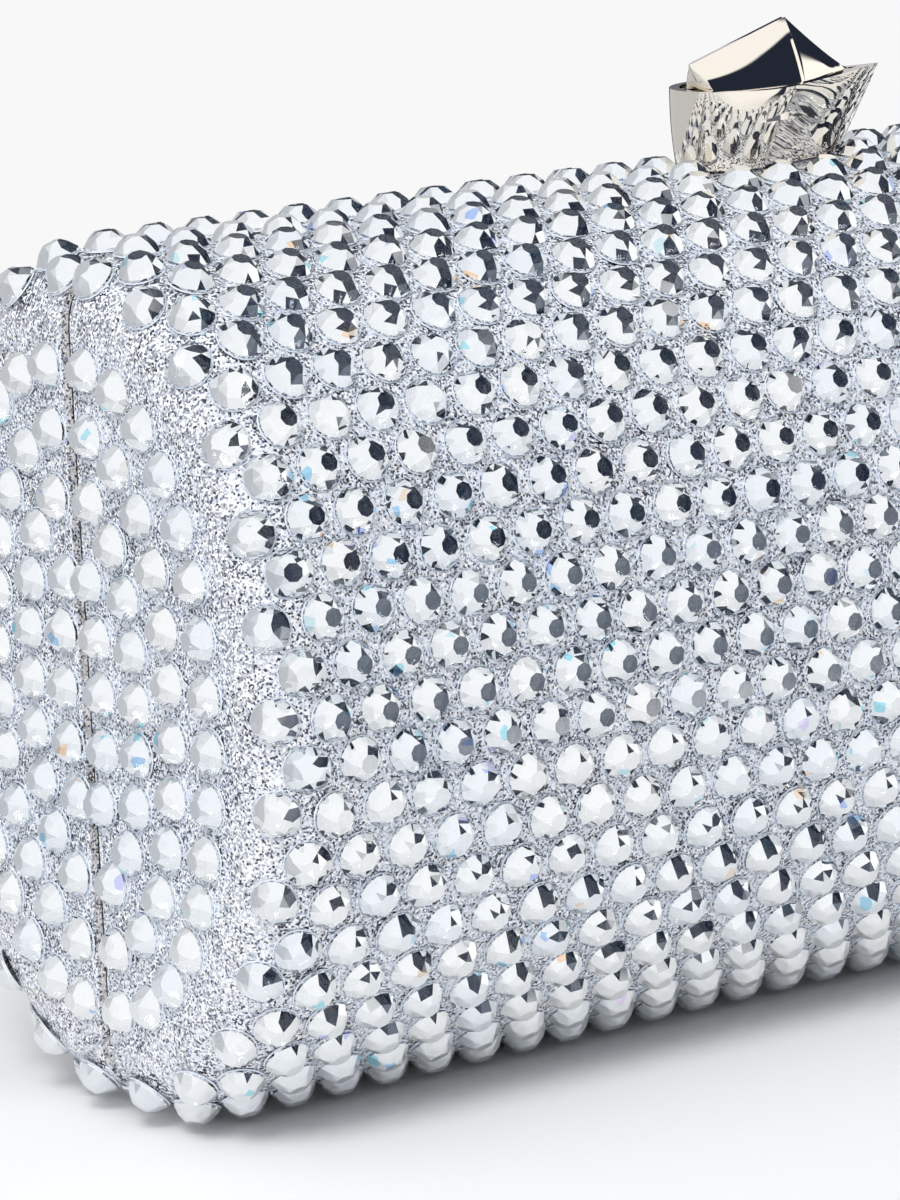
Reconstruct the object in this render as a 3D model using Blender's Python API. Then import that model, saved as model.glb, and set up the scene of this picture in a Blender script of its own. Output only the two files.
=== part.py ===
"""Hard-cased evening clutch covered in close-set round stones, with a drop-shaped push clasp.

The bag stands on its foot. X runs along its length, -Y is the front and Z is up. Two moulded
half shells meet at the mouth plane, y = 0, and swing about a pin along the foot. Each half is
a flexible cover set with stones, a moulded shell, a metal frame at the mouth and a suede lining.
A sprung button in the clasp cup pushes a lever, whose tooth then drops clear of the striker.
"""

import math
from functools import lru_cache

import bpy
import numpy as np
from mathutils import Matrix, Vector
from mathutils.geometry import delaunay_2d_cdt

MM = 0.001

# Whole bag, measured over the fabric and not over the stones
BODY_LENGTH = 186.0 * MM
BODY_DEPTH = 67.5 * MM
BODY_HEIGHT = 89.0 * MM
SECTION_POWER = 2.25
CORNER_RADIUS = 7.0 * MM
FOOT_FLAT_RISE = 0.5 * MM
FIT_GAP = 0.3 * MM
LEAST_INNER_RADIUS = 1.0 * MM

# Walls of each half, from the outside inwards
COVER_THICKNESS = 0.9 * MM
SHELL_THICKNESS = 1.8 * MM
LINING_THICKNESS = 0.7 * MM
FRAME_HEIGHT = 4.3 * MM
FRAME_DEPTH = 2.05 * MM
FRAME_MOUTH_GAP = 0.3 * MM
COVER_MOUTH_GAP = 0.8 * MM

# Stones, in rows packed like a honeycomb
STONE_DIAMETER = 4.7 * MM
STONE_HEIGHT = 2.0 * MM
STONE_PITCH = 5.85 * MM
TOP_ROW_MARGIN = 2.8 * MM
FOOT_ROW_MARGIN = 5.0 * MM
END_FIRST_ROW = 10.8 * MM
END_ROW_SPACING = 6.5 * MM
END_STONE_SPACING = 5.7 * MM
END_ROW_MARGIN = 3.2 * MM

# Hinge along the foot
HINGE_LENGTH = 150.0 * MM
KNUCKLE_RADIUS = 1.5 * MM
KNUCKLE_END_GAP = 0.4 * MM
KNUCKLE_CLEARANCE = 0.35 * MM
COVER_HINGE_CLEARANCE = 0.6 * MM
HINGE_PIN_RADIUS = 0.7 * MM
KNUCKLE_COUNT = 7
WEB_THICKNESS = 1.2 * MM
WEB_RISE = 1.9 * MM

# Clasp cup, a drop in plan with its point towards +X
CUP_LENGTH = 27.4 * MM
CUP_SHIFT = 0.7 * MM
CUP_RADIUS = 7.4 * MM
CUP_HEIGHT = 8.8 * MM
CUP_BASE_RADIUS = 6.6 * MM
CUP_BOW_RAKE = 5.0 * MM
CUP_STERN_TUCK = 1.0 * MM
CUP_RIM_WALL = 1.1 * MM

# Button block that stands in the cup
BUTTON_GAP = 0.35 * MM
BUTTON_TRAVEL = 1.2 * MM
PLUG_TOP_DEPTH = 0.6 * MM
PLUG_THICKNESS = 1.5 * MM
WAIST_STEP = 0.3 * MM
WAIST_HALF_WIDTH_NEAR_PEAK = 4.3 * MM
WAIST_HALF_WIDTH_AT_STERN = 1.8 * MM
PEAK_HEIGHT = 6.8 * MM
STERN_RIDGE_HEIGHT = 2.8 * MM
BOW_RIDGE_HEIGHT = 0.3 * MM
RIDGE_HALF_WIDTH = 0.3 * MM
RIDGE_STERN_INSET = 0.1 * MM
RIDGE_BOW_INSET = 0.8 * MM
BOW_RIDGE_POWER = 1.35

# Stem, spring and fixings under the clasp
STEM_X = -5.1 * MM
STEM_Y = 3.9 * MM
STEM_RADIUS = 0.8 * MM
STEM_SEAT_DEPTH = 0.9 * MM
COLLAR_RADIUS = 1.6 * MM
COLLAR_THICKNESS = 1.0 * MM
COLLAR_GAP = 0.6 * MM
SPRING_BORE_RADIUS = 1.95 * MM
SPRING_BORE_DEPTH = 3.8 * MM
SPRING_RADIUS = 1.4 * MM
SPRING_WIRE_RADIUS = 0.2 * MM
SPRING_TURNS = 5
CUP_SCREW_SPACING = 7.6 * MM
CUP_SCREW_Y = 3.6 * MM
CUP_SCREW_BITE = 3.0 * MM
SCREW_RADIUS = 0.6 * MM
SCREW_HEAD_RADIUS = 1.1 * MM
SCREW_HEAD_HEIGHT = 0.7 * MM
SMALL_SCREW_RADIUS = 0.5 * MM
SMALL_SCREW_HEAD_RADIUS = 0.85 * MM
SMALL_SCREW_HEAD_HEIGHT = 0.6 * MM
SMALL_SCREW_BITE = 2.6 * MM

# Catch, worked by the stem, and the striker that it holds
PLATE_THICKNESS = 0.8 * MM
PLATE_MOUTH_GAP = 0.4 * MM
BRACKET_LENGTH = 21.0 * MM
BRACKET_DEPTH = 7.6 * MM
CHEEK_THICKNESS = 0.8 * MM
CHEEK_DROP = 6.7 * MM
CHEEK_REACH = 1.8 * MM
CHEEK_BACK_DROP = 3.6 * MM
LEVER_WIDTH = 4.8 * MM
LEVER_SIDE_GAP = 0.6 * MM
LEVER_THICKNESS = 1.6 * MM
LEVER_DROP = 10.7 * MM
PIVOT_DEPTH_SHARE = 0.375
LEVER_HUB_RADIUS = 1.9 * MM
LEVER_SLOT_LENGTH = 3.6 * MM
CATCH_PIN_RADIUS = 0.75 * MM
PIN_CLEARANCE = 0.3 * MM
PIN_OVERHANG = 0.6 * MM
TOOTH_GAP = 0.6 * MM
TOOTH_THICKNESS = 1.4 * MM
TOOTH_RISE = 2.5 * MM
TOOTH_BEVEL_WIDTH = 0.5 * MM
TOOTH_BEVEL_HEIGHT = 0.7 * MM
STRIKER_DROP = 3.3 * MM
STRIKER_THICKNESS = 1.0 * MM
STRIKER_HOOK_WIDTH = 8.0 * MM
FIXING_SPACING = 17.0 * MM

# Facet counts
SKIN_ROWS = 15
CORNER_STEPS = 2
SECTION_SAMPLES = 600
PIN_SIDES = 10
TURNED_SIDES = 14
WIRE_SIDES = 4
SPRING_POINTS_PER_TURN = 9
DROP_SIDE_SHARES = (0.2, 0.44, 0.68, 0.84, 1.0)
PEAK_SIDE_SHARE = 0.68
DROP_ARC_POINTS = 15
CUP_LEVEL_SHARES = (0.0, 0.15, 0.4, 0.7, 1.0)
LEAST_TRIANGLE_SHARE = 0.01
CUTTER_OVERRUN = 1.0 * MM

# Places that follow from the sizes
HALF_LENGTH = BODY_LENGTH / 2
HALF_DEPTH = BODY_DEPTH / 2
HALF_HEIGHT = BODY_HEIGHT / 2
BODY_CENTRE_Z = HALF_HEIGHT - FOOT_FLAT_RISE + STONE_HEIGHT
TOP_Z = BODY_CENTRE_Z + HALF_HEIGHT
FOOT_Z = STONE_HEIGHT
HINGE_Z = FOOT_Z
SHELL_INSET = COVER_THICKNESS + FIT_GAP
LINING_INSET = SHELL_INSET + SHELL_THICKNESS + FIT_GAP
FRAME_INNER_INSET = SHELL_INSET + FRAME_HEIGHT
FRAME_FACE_Y = FRAME_MOUTH_GAP / 2
FRAME_BACK_Y = FRAME_FACE_Y + FRAME_DEPTH
SHELL_RIM_Y = FRAME_BACK_Y + FIT_GAP
COVER_RIM_Y = COVER_MOUTH_GAP / 2
FRAME_UNDER_Z = TOP_Z - FRAME_INNER_INSET
PLATE_TOP_Z = FRAME_UNDER_Z - FIT_GAP
PLATE_UNDER_Z = PLATE_TOP_Z - PLATE_THICKNESS
LEVER_TOP_Z = TOP_Z - LEVER_DROP
LEVER_UNDER_Z = LEVER_TOP_Z - LEVER_THICKNESS
PIVOT_Y = PIVOT_DEPTH_SHARE * HALF_DEPTH
CHEEK_BACK = PIVOT_Y + CHEEK_REACH
PIVOT_Z = LEVER_TOP_Z - LEVER_THICKNESS / 2
CUP_BASE_Z = TOP_Z + FIT_GAP
RIM_Z = CUP_BASE_Z + CUP_HEIGHT
CUP_BOW_X = CUP_LENGTH / 2 + CUP_SHIFT
PLUG_UNDER_Z = RIM_Z - PLUG_TOP_DEPTH - PLUG_THICKNESS
WELL_FLOOR_Z = PLUG_UNDER_Z - BUTTON_TRAVEL - FIT_GAP
SPRING_FLOOR_Z = WELL_FLOOR_Z - SPRING_BORE_DEPTH
HINGE_CENTRE = Vector((0.0, 0.0, HINGE_Z))
HOLE_RADIUS = STEM_RADIUS + FIT_GAP

FRONT = -1
REAR = 1


def plain_material(name, colour, roughness, metallic):
    """Returns a material with one colour, roughness and metallic value."""
    material = bpy.data.materials.new(name)
    material.use_nodes = True
    shader = material.node_tree.nodes["Principled BSDF"]
    shader.inputs["Base Color"].default_value = (*colour, 1.0)
    shader.inputs["Roughness"].default_value = roughness
    shader.inputs["Metallic"].default_value = metallic
    material.diffuse_color = (*colour, 1.0)
    return material


def make_materials():
    """Returns the bag's materials by name."""
    return {
        "cover": plain_material("stone_set_fabric", (0.56, 0.60, 0.68), 0.3, 0.4),
        "shell": plain_material("moulded_shell", (0.62, 0.62, 0.64), 0.5, 0.0),
        "nickel": plain_material("warm_nickel", (0.80, 0.76, 0.70), 0.08, 1.0),
        "lining": plain_material("suede_lining", (0.42, 0.42, 0.46), 0.9, 0.0),
        "steel": plain_material("bright_steel", (0.60, 0.60, 0.62), 0.3, 1.0),
    }


def add_mesh(name, points, faces, material=None, smooth=False):
    """Adds an object whose mesh has the given points, in metres, and faces."""
    mesh = bpy.data.meshes.new(name)
    mesh.from_pydata([tuple(point) for point in points], [], faces)
    mesh.validate()
    if material is not None:
        mesh.materials.append(material)
    part = bpy.data.objects.new(name, mesh)
    bpy.context.scene.collection.objects.link(part)
    if smooth:
        mesh.shade_smooth()
        mesh.set_sharp_from_angle(angle=math.radians(40))
    return part


def add_cutter(name, points, faces):
    """Adds a helper solid that only shapes other parts."""
    cutter = add_mesh(name, points, faces)
    cutter.hide_render = True
    cutter.display_type = "WIRE"
    return cutter


def combine(part, helper, operation):
    """Adds a Boolean modifier that works the helper solid into the part."""
    modifier = part.modifiers.new(helper.name, "BOOLEAN")
    modifier.operation = operation
    modifier.solver = "EXACT"
    modifier.object = helper


def merged(solids):
    """Returns the points and faces of several solids as one pair of lists."""
    points = []
    faces = []
    for solid_points, solid_faces in solids:
        start = len(points)
        points.extend(solid_points)
        faces.extend([[start + index for index in face] for face in solid_faces])
    return points, faces


def loft(rings):
    """Returns the closed solid through rings of equal size, counter-clockwise from the first end."""
    count = len(rings[0])
    points = [point for ring in rings for point in ring]
    faces = []
    for level in range(len(rings) - 1):
        low = level * count
        high = low + count
        for index in range(count):
            after = (index + 1) % count
            faces.append([low + index, low + after, high + after, high + index])
    last = (len(rings) - 1) * count
    faces.extend(end_strip(0, count, flip=True))
    faces.extend(end_strip(last, count, flip=False))
    return points, faces


def end_strip(start, count, flip):
    """Returns faces that close a ring in strips across its line of symmetry through point 0."""
    faces = []
    half = count // 2
    for index in range(half):
        far = (count - index) % count
        face = [start + index, start + index + 1, start + (count - index - 1) % count, start + far]
        face = list(dict.fromkeys(face))
        if len(face) < 3:
            continue
        faces.append(face[::-1] if flip else face)
    return faces


def turned(profile, centre, sides):
    """Returns the solid turned about a vertical line through centre, from (radius, z) pairs upwards."""
    rings = []
    for radius, height in profile:
        ring = []
        for index in range(sides):
            angle = math.tau * index / sides
            ring.append((centre[0] + radius * math.cos(angle), centre[1] + radius * math.sin(angle), height))
        rings.append(ring)
    return loft(rings)


def bar(radius, start_x, end_x, y, z, sides):
    """Returns a round bar along X."""
    rings = []
    for x in (start_x, end_x):
        ring = []
        for index in range(sides):
            angle = math.tau * index / sides
            ring.append((x, y + radius * math.cos(angle), z + radius * math.sin(angle)))
        rings.append(ring)
    return loft(rings)


def box(low, high):
    """Returns a box between two corners."""
    rings = []
    for z in (low[2], high[2]):
        rings.append([(low[0], low[1], z), (high[0], low[1], z), (high[0], high[1], z), (low[0], high[1], z)])
    return loft(rings)


def side_plate(outline, start_x, end_x):
    """Returns a plate whose (y, z) outline, counter-clockwise seen from +X, runs along X."""
    count = len(outline)
    points = [(start_x, y, z) for y, z in outline] + [(end_x, y, z) for y, z in outline]
    faces = [list(range(count))[::-1], list(range(count, 2 * count))]
    for index in range(count):
        after = (index + 1) % count
        faces.append([index, after, count + after, count + index])
    return points, faces


class Section:
    """Half outline of the bag across its length, at one inset, from the top seam to the foot seam.

    It is a superellipse with its lowest part flattened into a foot, and stops at the rim plane.
    """

    def __init__(self, inset, rim):
        half_depth = HALF_DEPTH - inset
        half_height = HALF_HEIGHT - inset
        start = math.acos((rim / half_depth) ** (SECTION_POWER / 2))
        angles = np.linspace(start, -start, SECTION_SAMPLES)
        power = 2 / SECTION_POWER
        self.y = -half_depth * np.abs(np.cos(angles)) ** power
        rise = half_height * np.sign(np.sin(angles)) * np.abs(np.sin(angles)) ** power
        self.z = BODY_CENTRE_Z + np.maximum(rise, FOOT_FLAT_RISE - half_height)
        steps = np.hypot(np.diff(self.y), np.diff(self.z))
        self.along = np.concatenate([[0.0], np.cumsum(steps)])
        self.length = float(self.along[-1])
        tangent_y = np.gradient(self.y)
        tangent_z = np.gradient(self.z)
        size = np.hypot(tangent_y, tangent_z)
        self.normal_y = tangent_z / size
        self.normal_z = -tangent_y / size

    def at(self, share):
        """Returns the point and the outward normal, as (y, z) pairs, at a share of the way down."""
        distance = share * self.length
        y = float(np.interp(distance, self.along, self.y))
        z = float(np.interp(distance, self.along, self.z))
        normal_y = float(np.interp(distance, self.along, self.normal_y))
        normal_z = float(np.interp(distance, self.along, self.normal_z))
        size = math.hypot(normal_y, normal_z)
        return (y, z), (normal_y / size, normal_z / size)


@lru_cache(maxsize=None)
def section(inset, rim):
    """Returns the section at an inset, made once."""
    return Section(inset, rim)


def corner_stations(inset, steps):
    """Returns (x, extra inset) pairs from the -X end wall to the +X one, round both end corners."""
    radius = max(CORNER_RADIUS - inset, LEAST_INNER_RADIUS)
    flat = HALF_LENGTH - inset - radius
    half = []
    for step in range(steps + 1):
        angle = math.pi / 2 * step / steps
        half.append((flat + radius * math.sin(angle), radius * (1 - math.cos(angle))))
    return [(-x, extra) for x, extra in reversed(half)] + half


def skin(inset, rim, rows):
    """Returns a grid of points over one front half skin: stations along X, rows from top to foot."""
    grid = []
    for x, extra in corner_stations(inset, CORNER_STEPS):
        curve = section(inset + extra, rim)
        column = []
        for row in range(rows):
            (y, z), _ = curve.at(row / (rows - 1))
            column.append((x, y, z))
        grid.append(column)
    return grid


def skin_faces(grid, start, inward):
    """Returns the faces of a skin, end walls included, and the order of its rim points."""
    stations = len(grid)
    rows = len(grid[0])
    faces = []
    for station in range(stations - 1):
        for row in range(rows - 1):
            here = start + station * rows + row
            beside = here + rows
            faces.append([here, here + 1, beside + 1, beside])
    last = start + (stations - 1) * rows
    faces.append(list(range(start, start + rows))[::-1])
    faces.append(list(range(last, last + rows)))
    if inward:
        faces = [face[::-1] for face in faces]
    top = [start + station * rows for station in range(stations)]
    foot = [start + station * rows + rows - 1 for station in range(stations)]
    return faces, top + foot[::-1]


def for_side(points, faces, side):
    """Returns the front half's points and faces, mirrored in the mouth plane for the rear half."""
    if side == FRONT:
        return points, faces
    return [(x, -y, z) for x, y, z in points], [face[::-1] for face in faces]


def tray(outer_inset, inner_inset, rim, side):
    """Returns an open half shell with a flat rim, between two insets."""
    outer = skin(outer_inset, rim, SKIN_ROWS)
    inner = skin(inner_inset, rim, SKIN_ROWS)
    points = [point for column in outer for point in column]
    start = len(points)
    points.extend(point for column in inner for point in column)
    outer_faces, outer_rim = skin_faces(outer, 0, inward=False)
    inner_faces, inner_rim = skin_faces(inner, start, inward=True)
    faces = outer_faces + inner_faces
    count = len(outer_rim)
    for index in range(count):
        after = (index + 1) % count
        faces.append([outer_rim[index], outer_rim[after], inner_rim[after], inner_rim[index]])
    return for_side(points, faces, side)


def corner_point(along, share, height):
    """Returns the point at a distance along X over the fabric, round the end corner, and a height."""
    flat = HALF_LENGTH - CORNER_RADIUS
    turn = max(0.0, abs(along) - flat) / CORNER_RADIUS
    extra = CORNER_RADIUS * (1 - math.cos(turn))
    (y, z), (normal_y, normal_z) = section(extra, COVER_RIM_Y).at(share)
    x = min(abs(along), flat) + CORNER_RADIUS * math.sin(turn) + height * math.sin(turn)
    rise = height * math.cos(turn)
    return Vector((math.copysign(x, along), y + rise * normal_y, z + rise * normal_z))


def end_point(side_sign, y, z, height):
    """Returns the point of the end wall over (y, z), round the corner near the outline, and a height."""
    outline = section(0.0, COVER_RIM_Y)
    distance = float(np.min(np.hypot(outline.y - y, outline.z - z)))
    drop = 0.0
    if distance < CORNER_RADIUS:
        reach = CORNER_RADIUS - distance
        drop = CORNER_RADIUS - math.sqrt(CORNER_RADIUS ** 2 - reach ** 2)
    return Vector((side_sign * (HALF_LENGTH - drop + height), y, z))


def drop_outline(radius, length, bow_x, z):
    """Returns a drop-shaped ring: a round stern, and two straight sides that meet at the bow, at +X."""
    stern_x = bow_x - length + radius
    reach = length - radius
    tangent = math.acos(radius / reach)
    side = []
    for share in DROP_SIDE_SHARES:
        x = bow_x + share * (stern_x + radius * math.cos(tangent) - bow_x)
        side.append((x, share * radius * math.sin(tangent), z))
    arc = []
    for index in range(1, DROP_ARC_POINTS + 1):
        angle = tangent + (math.tau - 2 * tangent) * index / (DROP_ARC_POINTS + 1)
        arc.append((stern_x + radius * math.cos(angle), radius * math.sin(angle), z))
    mirrored = [(x, -y, z) for x, y, z in reversed(side)]
    return [(bow_x, 0.0, z)] + side + arc + mirrored


def cup_ring(level):
    """Returns the cup's outer ring at a share of its height."""
    radius = CUP_BASE_RADIUS + (CUP_RADIUS - CUP_BASE_RADIUS) * math.sin(level * math.pi / 2)
    bow_x = CUP_BOW_X - CUP_BOW_RAKE * (1 - level)
    stern_x = CUP_BOW_X - CUP_LENGTH + CUP_STERN_TUCK * (1 - level) ** 2
    return drop_outline(radius, bow_x - stern_x, bow_x, CUP_BASE_Z + level * CUP_HEIGHT)


def inset_drop(inset, z):
    """Returns the cup's rim ring drawn in by an inset, at a height."""
    radius = CUP_RADIUS - inset
    sine = CUP_RADIUS / (CUP_LENGTH - CUP_RADIUS)
    bow_x = CUP_BOW_X - inset / sine
    return drop_outline(radius, radius + radius / sine, bow_x, z)


def distance_to_cup(x, y):
    """Returns how far a place lies outside the cup's base outline, less than zero inside it."""
    ring = cup_ring(0.0)
    count = len(ring)
    inside = True
    nearest = math.inf
    for index in range(count):
        start = Vector(ring[index][:2])
        along = Vector(ring[(index + 1) % count][:2]) - start
        offset = Vector((x, y)) - start
        if along.x * offset.y - along.y * offset.x < 0:
            inside = False
        share = min(1.0, max(0.0, offset.dot(along) / along.length_squared))
        nearest = min(nearest, (offset - share * along).length)
    return -nearest if inside else nearest


class StoneMap:
    """The stones of one half cover, and the points of its rim, joined into triangles.

    The triangles join the middles of neighbouring stones. Each stone then becomes a low point
    with a valley round it, whose corners lie in the middle of the triangles.
    """

    def __init__(self):
        self.points = []
        self.flat = []
        self.triangles = []
        self.valleys = []
        self.rim = []

    def add(self, point, flat_place):
        """Adds one point, with its place in the patch's flat map, and returns its number."""
        self.points.append(point)
        self.flat.append(flat_place)
        return len(self.points) - 1

    def join(self, numbers, places, flip, surface):
        """Joins the numbered points into triangles by their places in a flat map."""
        coords = [Vector(place) / STONE_PITCH for place in places]
        _, _, faces, origins, _, _ = delaunay_2d_cdt(coords, [], [], 0, 1e-6)
        for face in faces:
            corners = [origins[index][0] for index in face]
            first, second, third = (coords[index] for index in corners)
            area = (second - first).cross(third - first) / 2
            if abs(area) < LEAST_TRIANGLE_SHARE:
                continue
            if (area < 0) != flip:
                corners.reverse()
            middle = sum((Vector(places[index]) for index in corners), Vector((0.0, 0.0))) / 3
            self.triangles.append([numbers[index] for index in corners])
            self.valleys.append(surface(middle))

    def relief(self):
        """Returns the points and faces of the relief, each stone a low pyramid inside its valley."""
        start = len(self.points)
        owner = {}
        for index, triangle in enumerate(self.triangles):
            for corner in range(3):
                owner[(triangle[corner], triangle[(corner + 1) % 3])] = index
        faces = []
        for (first, second), index in owner.items():
            other = owner.get((second, first))
            if other is None:
                faces.append([first, second, start + index])
            elif first < second:
                faces.append([first, start + other, start + index])
                faces.append([second, start + index, start + other])
        return self.points + self.valleys, faces


def row_shares():
    """Returns the places of the front's stone rows as shares of the section, top to foot."""
    length = section(0.0, COVER_RIM_Y).length
    first = TOP_ROW_MARGIN - COVER_RIM_Y
    last = length - FOOT_ROW_MARGIN + COVER_RIM_Y
    gaps = 2 * round((last - first) / (STONE_PITCH * math.sqrt(3) / 2) / 2)
    return [(first + (last - first) * row / gaps) / length for row in range(gaps + 1)]


def stone_map():
    """Lays out the stones of the front half: rows along its length, and curved rows on its ends."""
    stones = StoneMap()
    limit = HALF_LENGTH - CORNER_RADIUS + CORNER_RADIUS * math.pi / 4
    gaps = round(2 * limit / STONE_PITCH)
    pitch = 2 * limit / gaps
    length = section(0.0, COVER_RIM_Y).length
    clear = STONE_DIAMETER / 2 + FIT_GAP
    numbers = []
    places = []
    corner = {-1: [], 1: []}

    def place(along, share, height):
        number = stones.add(corner_point(along, share, height), (along, share * length))
        numbers.append(number)
        places.append((along, share * length))
        return number

    columns = [-limit + pitch * column for column in range(gaps + 1)]
    bend = CORNER_RADIUS * math.pi / 8
    rim_columns = [along for along in columns if abs(along) < limit - pitch]
    rim_columns += [-limit, -limit + bend, limit - bend, limit]
    rim_columns.sort()
    top_rim = [place(along, 0.0, 0.0) for along in rim_columns]
    foot_rim = [place(along, 1.0, 0.0) for along in rim_columns]
    for sign, column in ((-1, 0), (1, -1)):
        corner[sign].append(top_rim[column])
    for row, share in enumerate(row_shares()):
        offset = row % 2
        for column in range(gaps + 1 - offset):
            along = columns[column] + offset * pitch / 2
            surface = corner_point(along, share, 0.0)
            near_top = surface.z > BODY_CENTRE_Z
            bare = near_top and distance_to_cup(surface.x, surface.y) < clear
            number = place(along, share, 0.0 if bare else STONE_HEIGHT)
            if offset == 0 and column in (0, gaps):
                corner[-1 if column == 0 else 1].append(number)
    for sign, column in ((-1, 0), (1, -1)):
        corner[sign].append(foot_rim[column])
    stones.join(numbers, places, True, lambda middle: corner_point(middle.x, middle.y / length, 0.0))

    rims = {}
    for sign in (-1, 1):
        rims[sign] = add_end(stones, corner[sign], sign)
    stones.rim = top_rim + rims[1] + foot_rim[::-1] + rims[-1][::-1]
    return stones


def add_end(stones, corner, sign):
    """Adds one end wall's stones to the map, and returns its rim points from top to foot."""
    numbers = list(corner)
    corner_inset = CORNER_RADIUS * (1 - math.cos(math.pi / 4))
    corner_section = section(corner_inset, COVER_RIM_Y)
    shares = [0.0] + row_shares()[::2] + [1.0]
    places = [corner_section.at(share)[0] for share in shares]

    def place(y, z, height):
        number = stones.add(end_point(sign, y, z, height), (y, z))
        numbers.append(number)
        places.append((y, z))
        return number

    rim = []
    bend_drop = CORNER_RADIUS * (1 - math.sin(math.pi / 8))
    flat_top = TOP_Z - CORNER_RADIUS
    flat_foot = FOOT_Z + CORNER_RADIUS
    steps = round((flat_top - flat_foot) / STONE_PITCH)
    heights = [TOP_Z - bend_drop]
    heights += [flat_top + (flat_foot - flat_top) * step / steps for step in range(steps + 1)]
    heights += [FOOT_Z + bend_drop]
    for z in heights:
        rim.append(place(-COVER_RIM_Y, z, 0.0))
    rows = int((HALF_DEPTH - END_ROW_MARGIN - END_FIRST_ROW) / END_ROW_SPACING) + 1
    for row in range(rows):
        curve = section(END_FIRST_ROW + row * END_ROW_SPACING, COVER_RIM_Y)
        gaps = round((curve.length - 2 * END_ROW_MARGIN) / END_STONE_SPACING)
        for index in range(gaps + 1):
            distance = END_ROW_MARGIN + (curve.length - 2 * END_ROW_MARGIN) * index / gaps
            (y, z), _ = curve.at(distance / curve.length)
            place(y, z, STONE_HEIGHT)
    stones.join(numbers, places, sign < 0, lambda middle: end_point(sign, middle.x, middle.y, 0.0))
    return rim


def rim_angle(point):
    """Returns the direction of a rim point from the middle of the mouth, counter-clockwise from +Y."""
    return math.atan2(point[2] - BODY_CENTRE_Z, -point[0])


def zip_loops(points, outer, inner):
    """Returns triangles between two closed loops round the mouth, paired by direction."""

    def ordered(loop):
        angles = [rim_angle(points[number]) for number in loop]
        first = angles.index(min(angles))
        return loop[first:] + loop[:first], angles[first:] + angles[:first]

    outer, outer_angles = ordered(outer)
    inner, inner_angles = ordered(inner)
    outer_angles.append(outer_angles[0] + math.tau)
    inner_angles.append(inner_angles[0] + math.tau)
    faces = []
    here = 0
    there = 0
    while here < len(outer) or there < len(inner):
        outer_now = outer[here % len(outer)]
        inner_now = inner[there % len(inner)]
        step_outer = there == len(inner)
        if here < len(outer) and there < len(inner):
            step_outer = outer_angles[here + 1] < inner_angles[there + 1]
        if step_outer:
            faces.append([outer_now, outer[(here + 1) % len(outer)], inner_now])
            here += 1
        else:
            faces.append([outer_now, inner[(there + 1) % len(inner)], inner_now])
            there += 1
    return faces


def stone_cover(side):
    """Returns one half cover: the stones in relief outside, and a smooth back."""
    stones = stone_map()
    points, faces = stones.relief()
    start = len(points)
    back = skin(COVER_THICKNESS, COVER_RIM_Y, SKIN_ROWS)
    points = [tuple(point) for point in points]
    points.extend(point for column in back for point in column)
    back_faces, back_rim = skin_faces(back, start, inward=True)
    faces = faces + back_faces + zip_loops(points, stones.rim, back_rim)
    return for_side(points, faces, side)


def mouth_ring(inset, y):
    """Returns the mouth's rounded outline at an inset, in the plane at y, counter-clockwise from +Y."""
    top = [(x, y, TOP_Z - inset - extra) for x, extra in corner_stations(inset, CORNER_STEPS)]
    foot = [(x, y, FOOT_Z + inset + extra) for x, extra in corner_stations(inset, CORNER_STEPS)]
    return top + foot[::-1]


def frame_ring(side):
    """Returns the flat metal band round the mouth of one half."""
    rings = [
        mouth_ring(SHELL_INSET, -FRAME_FACE_Y),
        mouth_ring(FRAME_INNER_INSET, -FRAME_FACE_Y),
        mouth_ring(FRAME_INNER_INSET, -FRAME_BACK_Y),
        mouth_ring(SHELL_INSET, -FRAME_BACK_Y),
    ]
    count = len(rings[0])
    points = [point for ring in rings for point in ring]
    faces = []
    for level in range(len(rings)):
        low = level * count
        high = (level + 1) % len(rings) * count
        for index in range(count):
            after = (index + 1) % count
            faces.append([low + index, low + after, high + after, high + index])
    return for_side(points, faces, side)


def knuckle_spans(side):
    """Returns the (start, end) of each knuckle of one half along X. The rear has the odd one."""
    pitch = HINGE_LENGTH / KNUCKLE_COUNT
    first = 0 if side == REAR else 1
    spans = []
    for index in range(first, KNUCKLE_COUNT, 2):
        start = -HINGE_LENGTH / 2 + index * pitch
        spans.append((start + KNUCKLE_END_GAP / 2, start + pitch - KNUCKLE_END_GAP / 2))
    return spans


def add_knuckles(frame, side):
    """Works the hinge knuckles of one half into its frame, with a web from each to the band."""
    label = "rear" if side == REAR else "front"
    end = HINGE_LENGTH / 2 + KNUCKLE_END_GAP
    relief = bar(KNUCKLE_RADIUS + KNUCKLE_CLEARANCE, -end, end, 0.0, HINGE_Z, TURNED_SIDES)
    combine(frame, add_cutter(label + "_knuckle_relief", *relief), "DIFFERENCE")
    barrels = []
    webs = []
    for start_x, end_x in knuckle_spans(side):
        barrels.append(bar(KNUCKLE_RADIUS, start_x, end_x, 0.0, HINGE_Z, TURNED_SIDES))
        near = side * (KNUCKLE_RADIUS - WEB_THICKNESS + FIT_GAP / 2)
        far = side * (KNUCKLE_RADIUS + FIT_GAP / 2)
        low = (start_x, min(near, far), HINGE_Z + FIT_GAP)
        high = (end_x, max(near, far), HINGE_Z + WEB_RISE)
        webs.append(box(low, high))
    combine(frame, add_cutter(label + "_webs", *merged(webs)), "UNION")
    combine(frame, add_cutter(label + "_barrels", *merged(barrels)), "UNION")
    reach = end + CUTTER_OVERRUN
    bore = bar(HINGE_PIN_RADIUS + FIT_GAP, -reach, reach, 0.0, HINGE_Z, PIN_SIDES)
    combine(frame, add_cutter(label + "_pin_bore", *bore), "DIFFERENCE")


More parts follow.
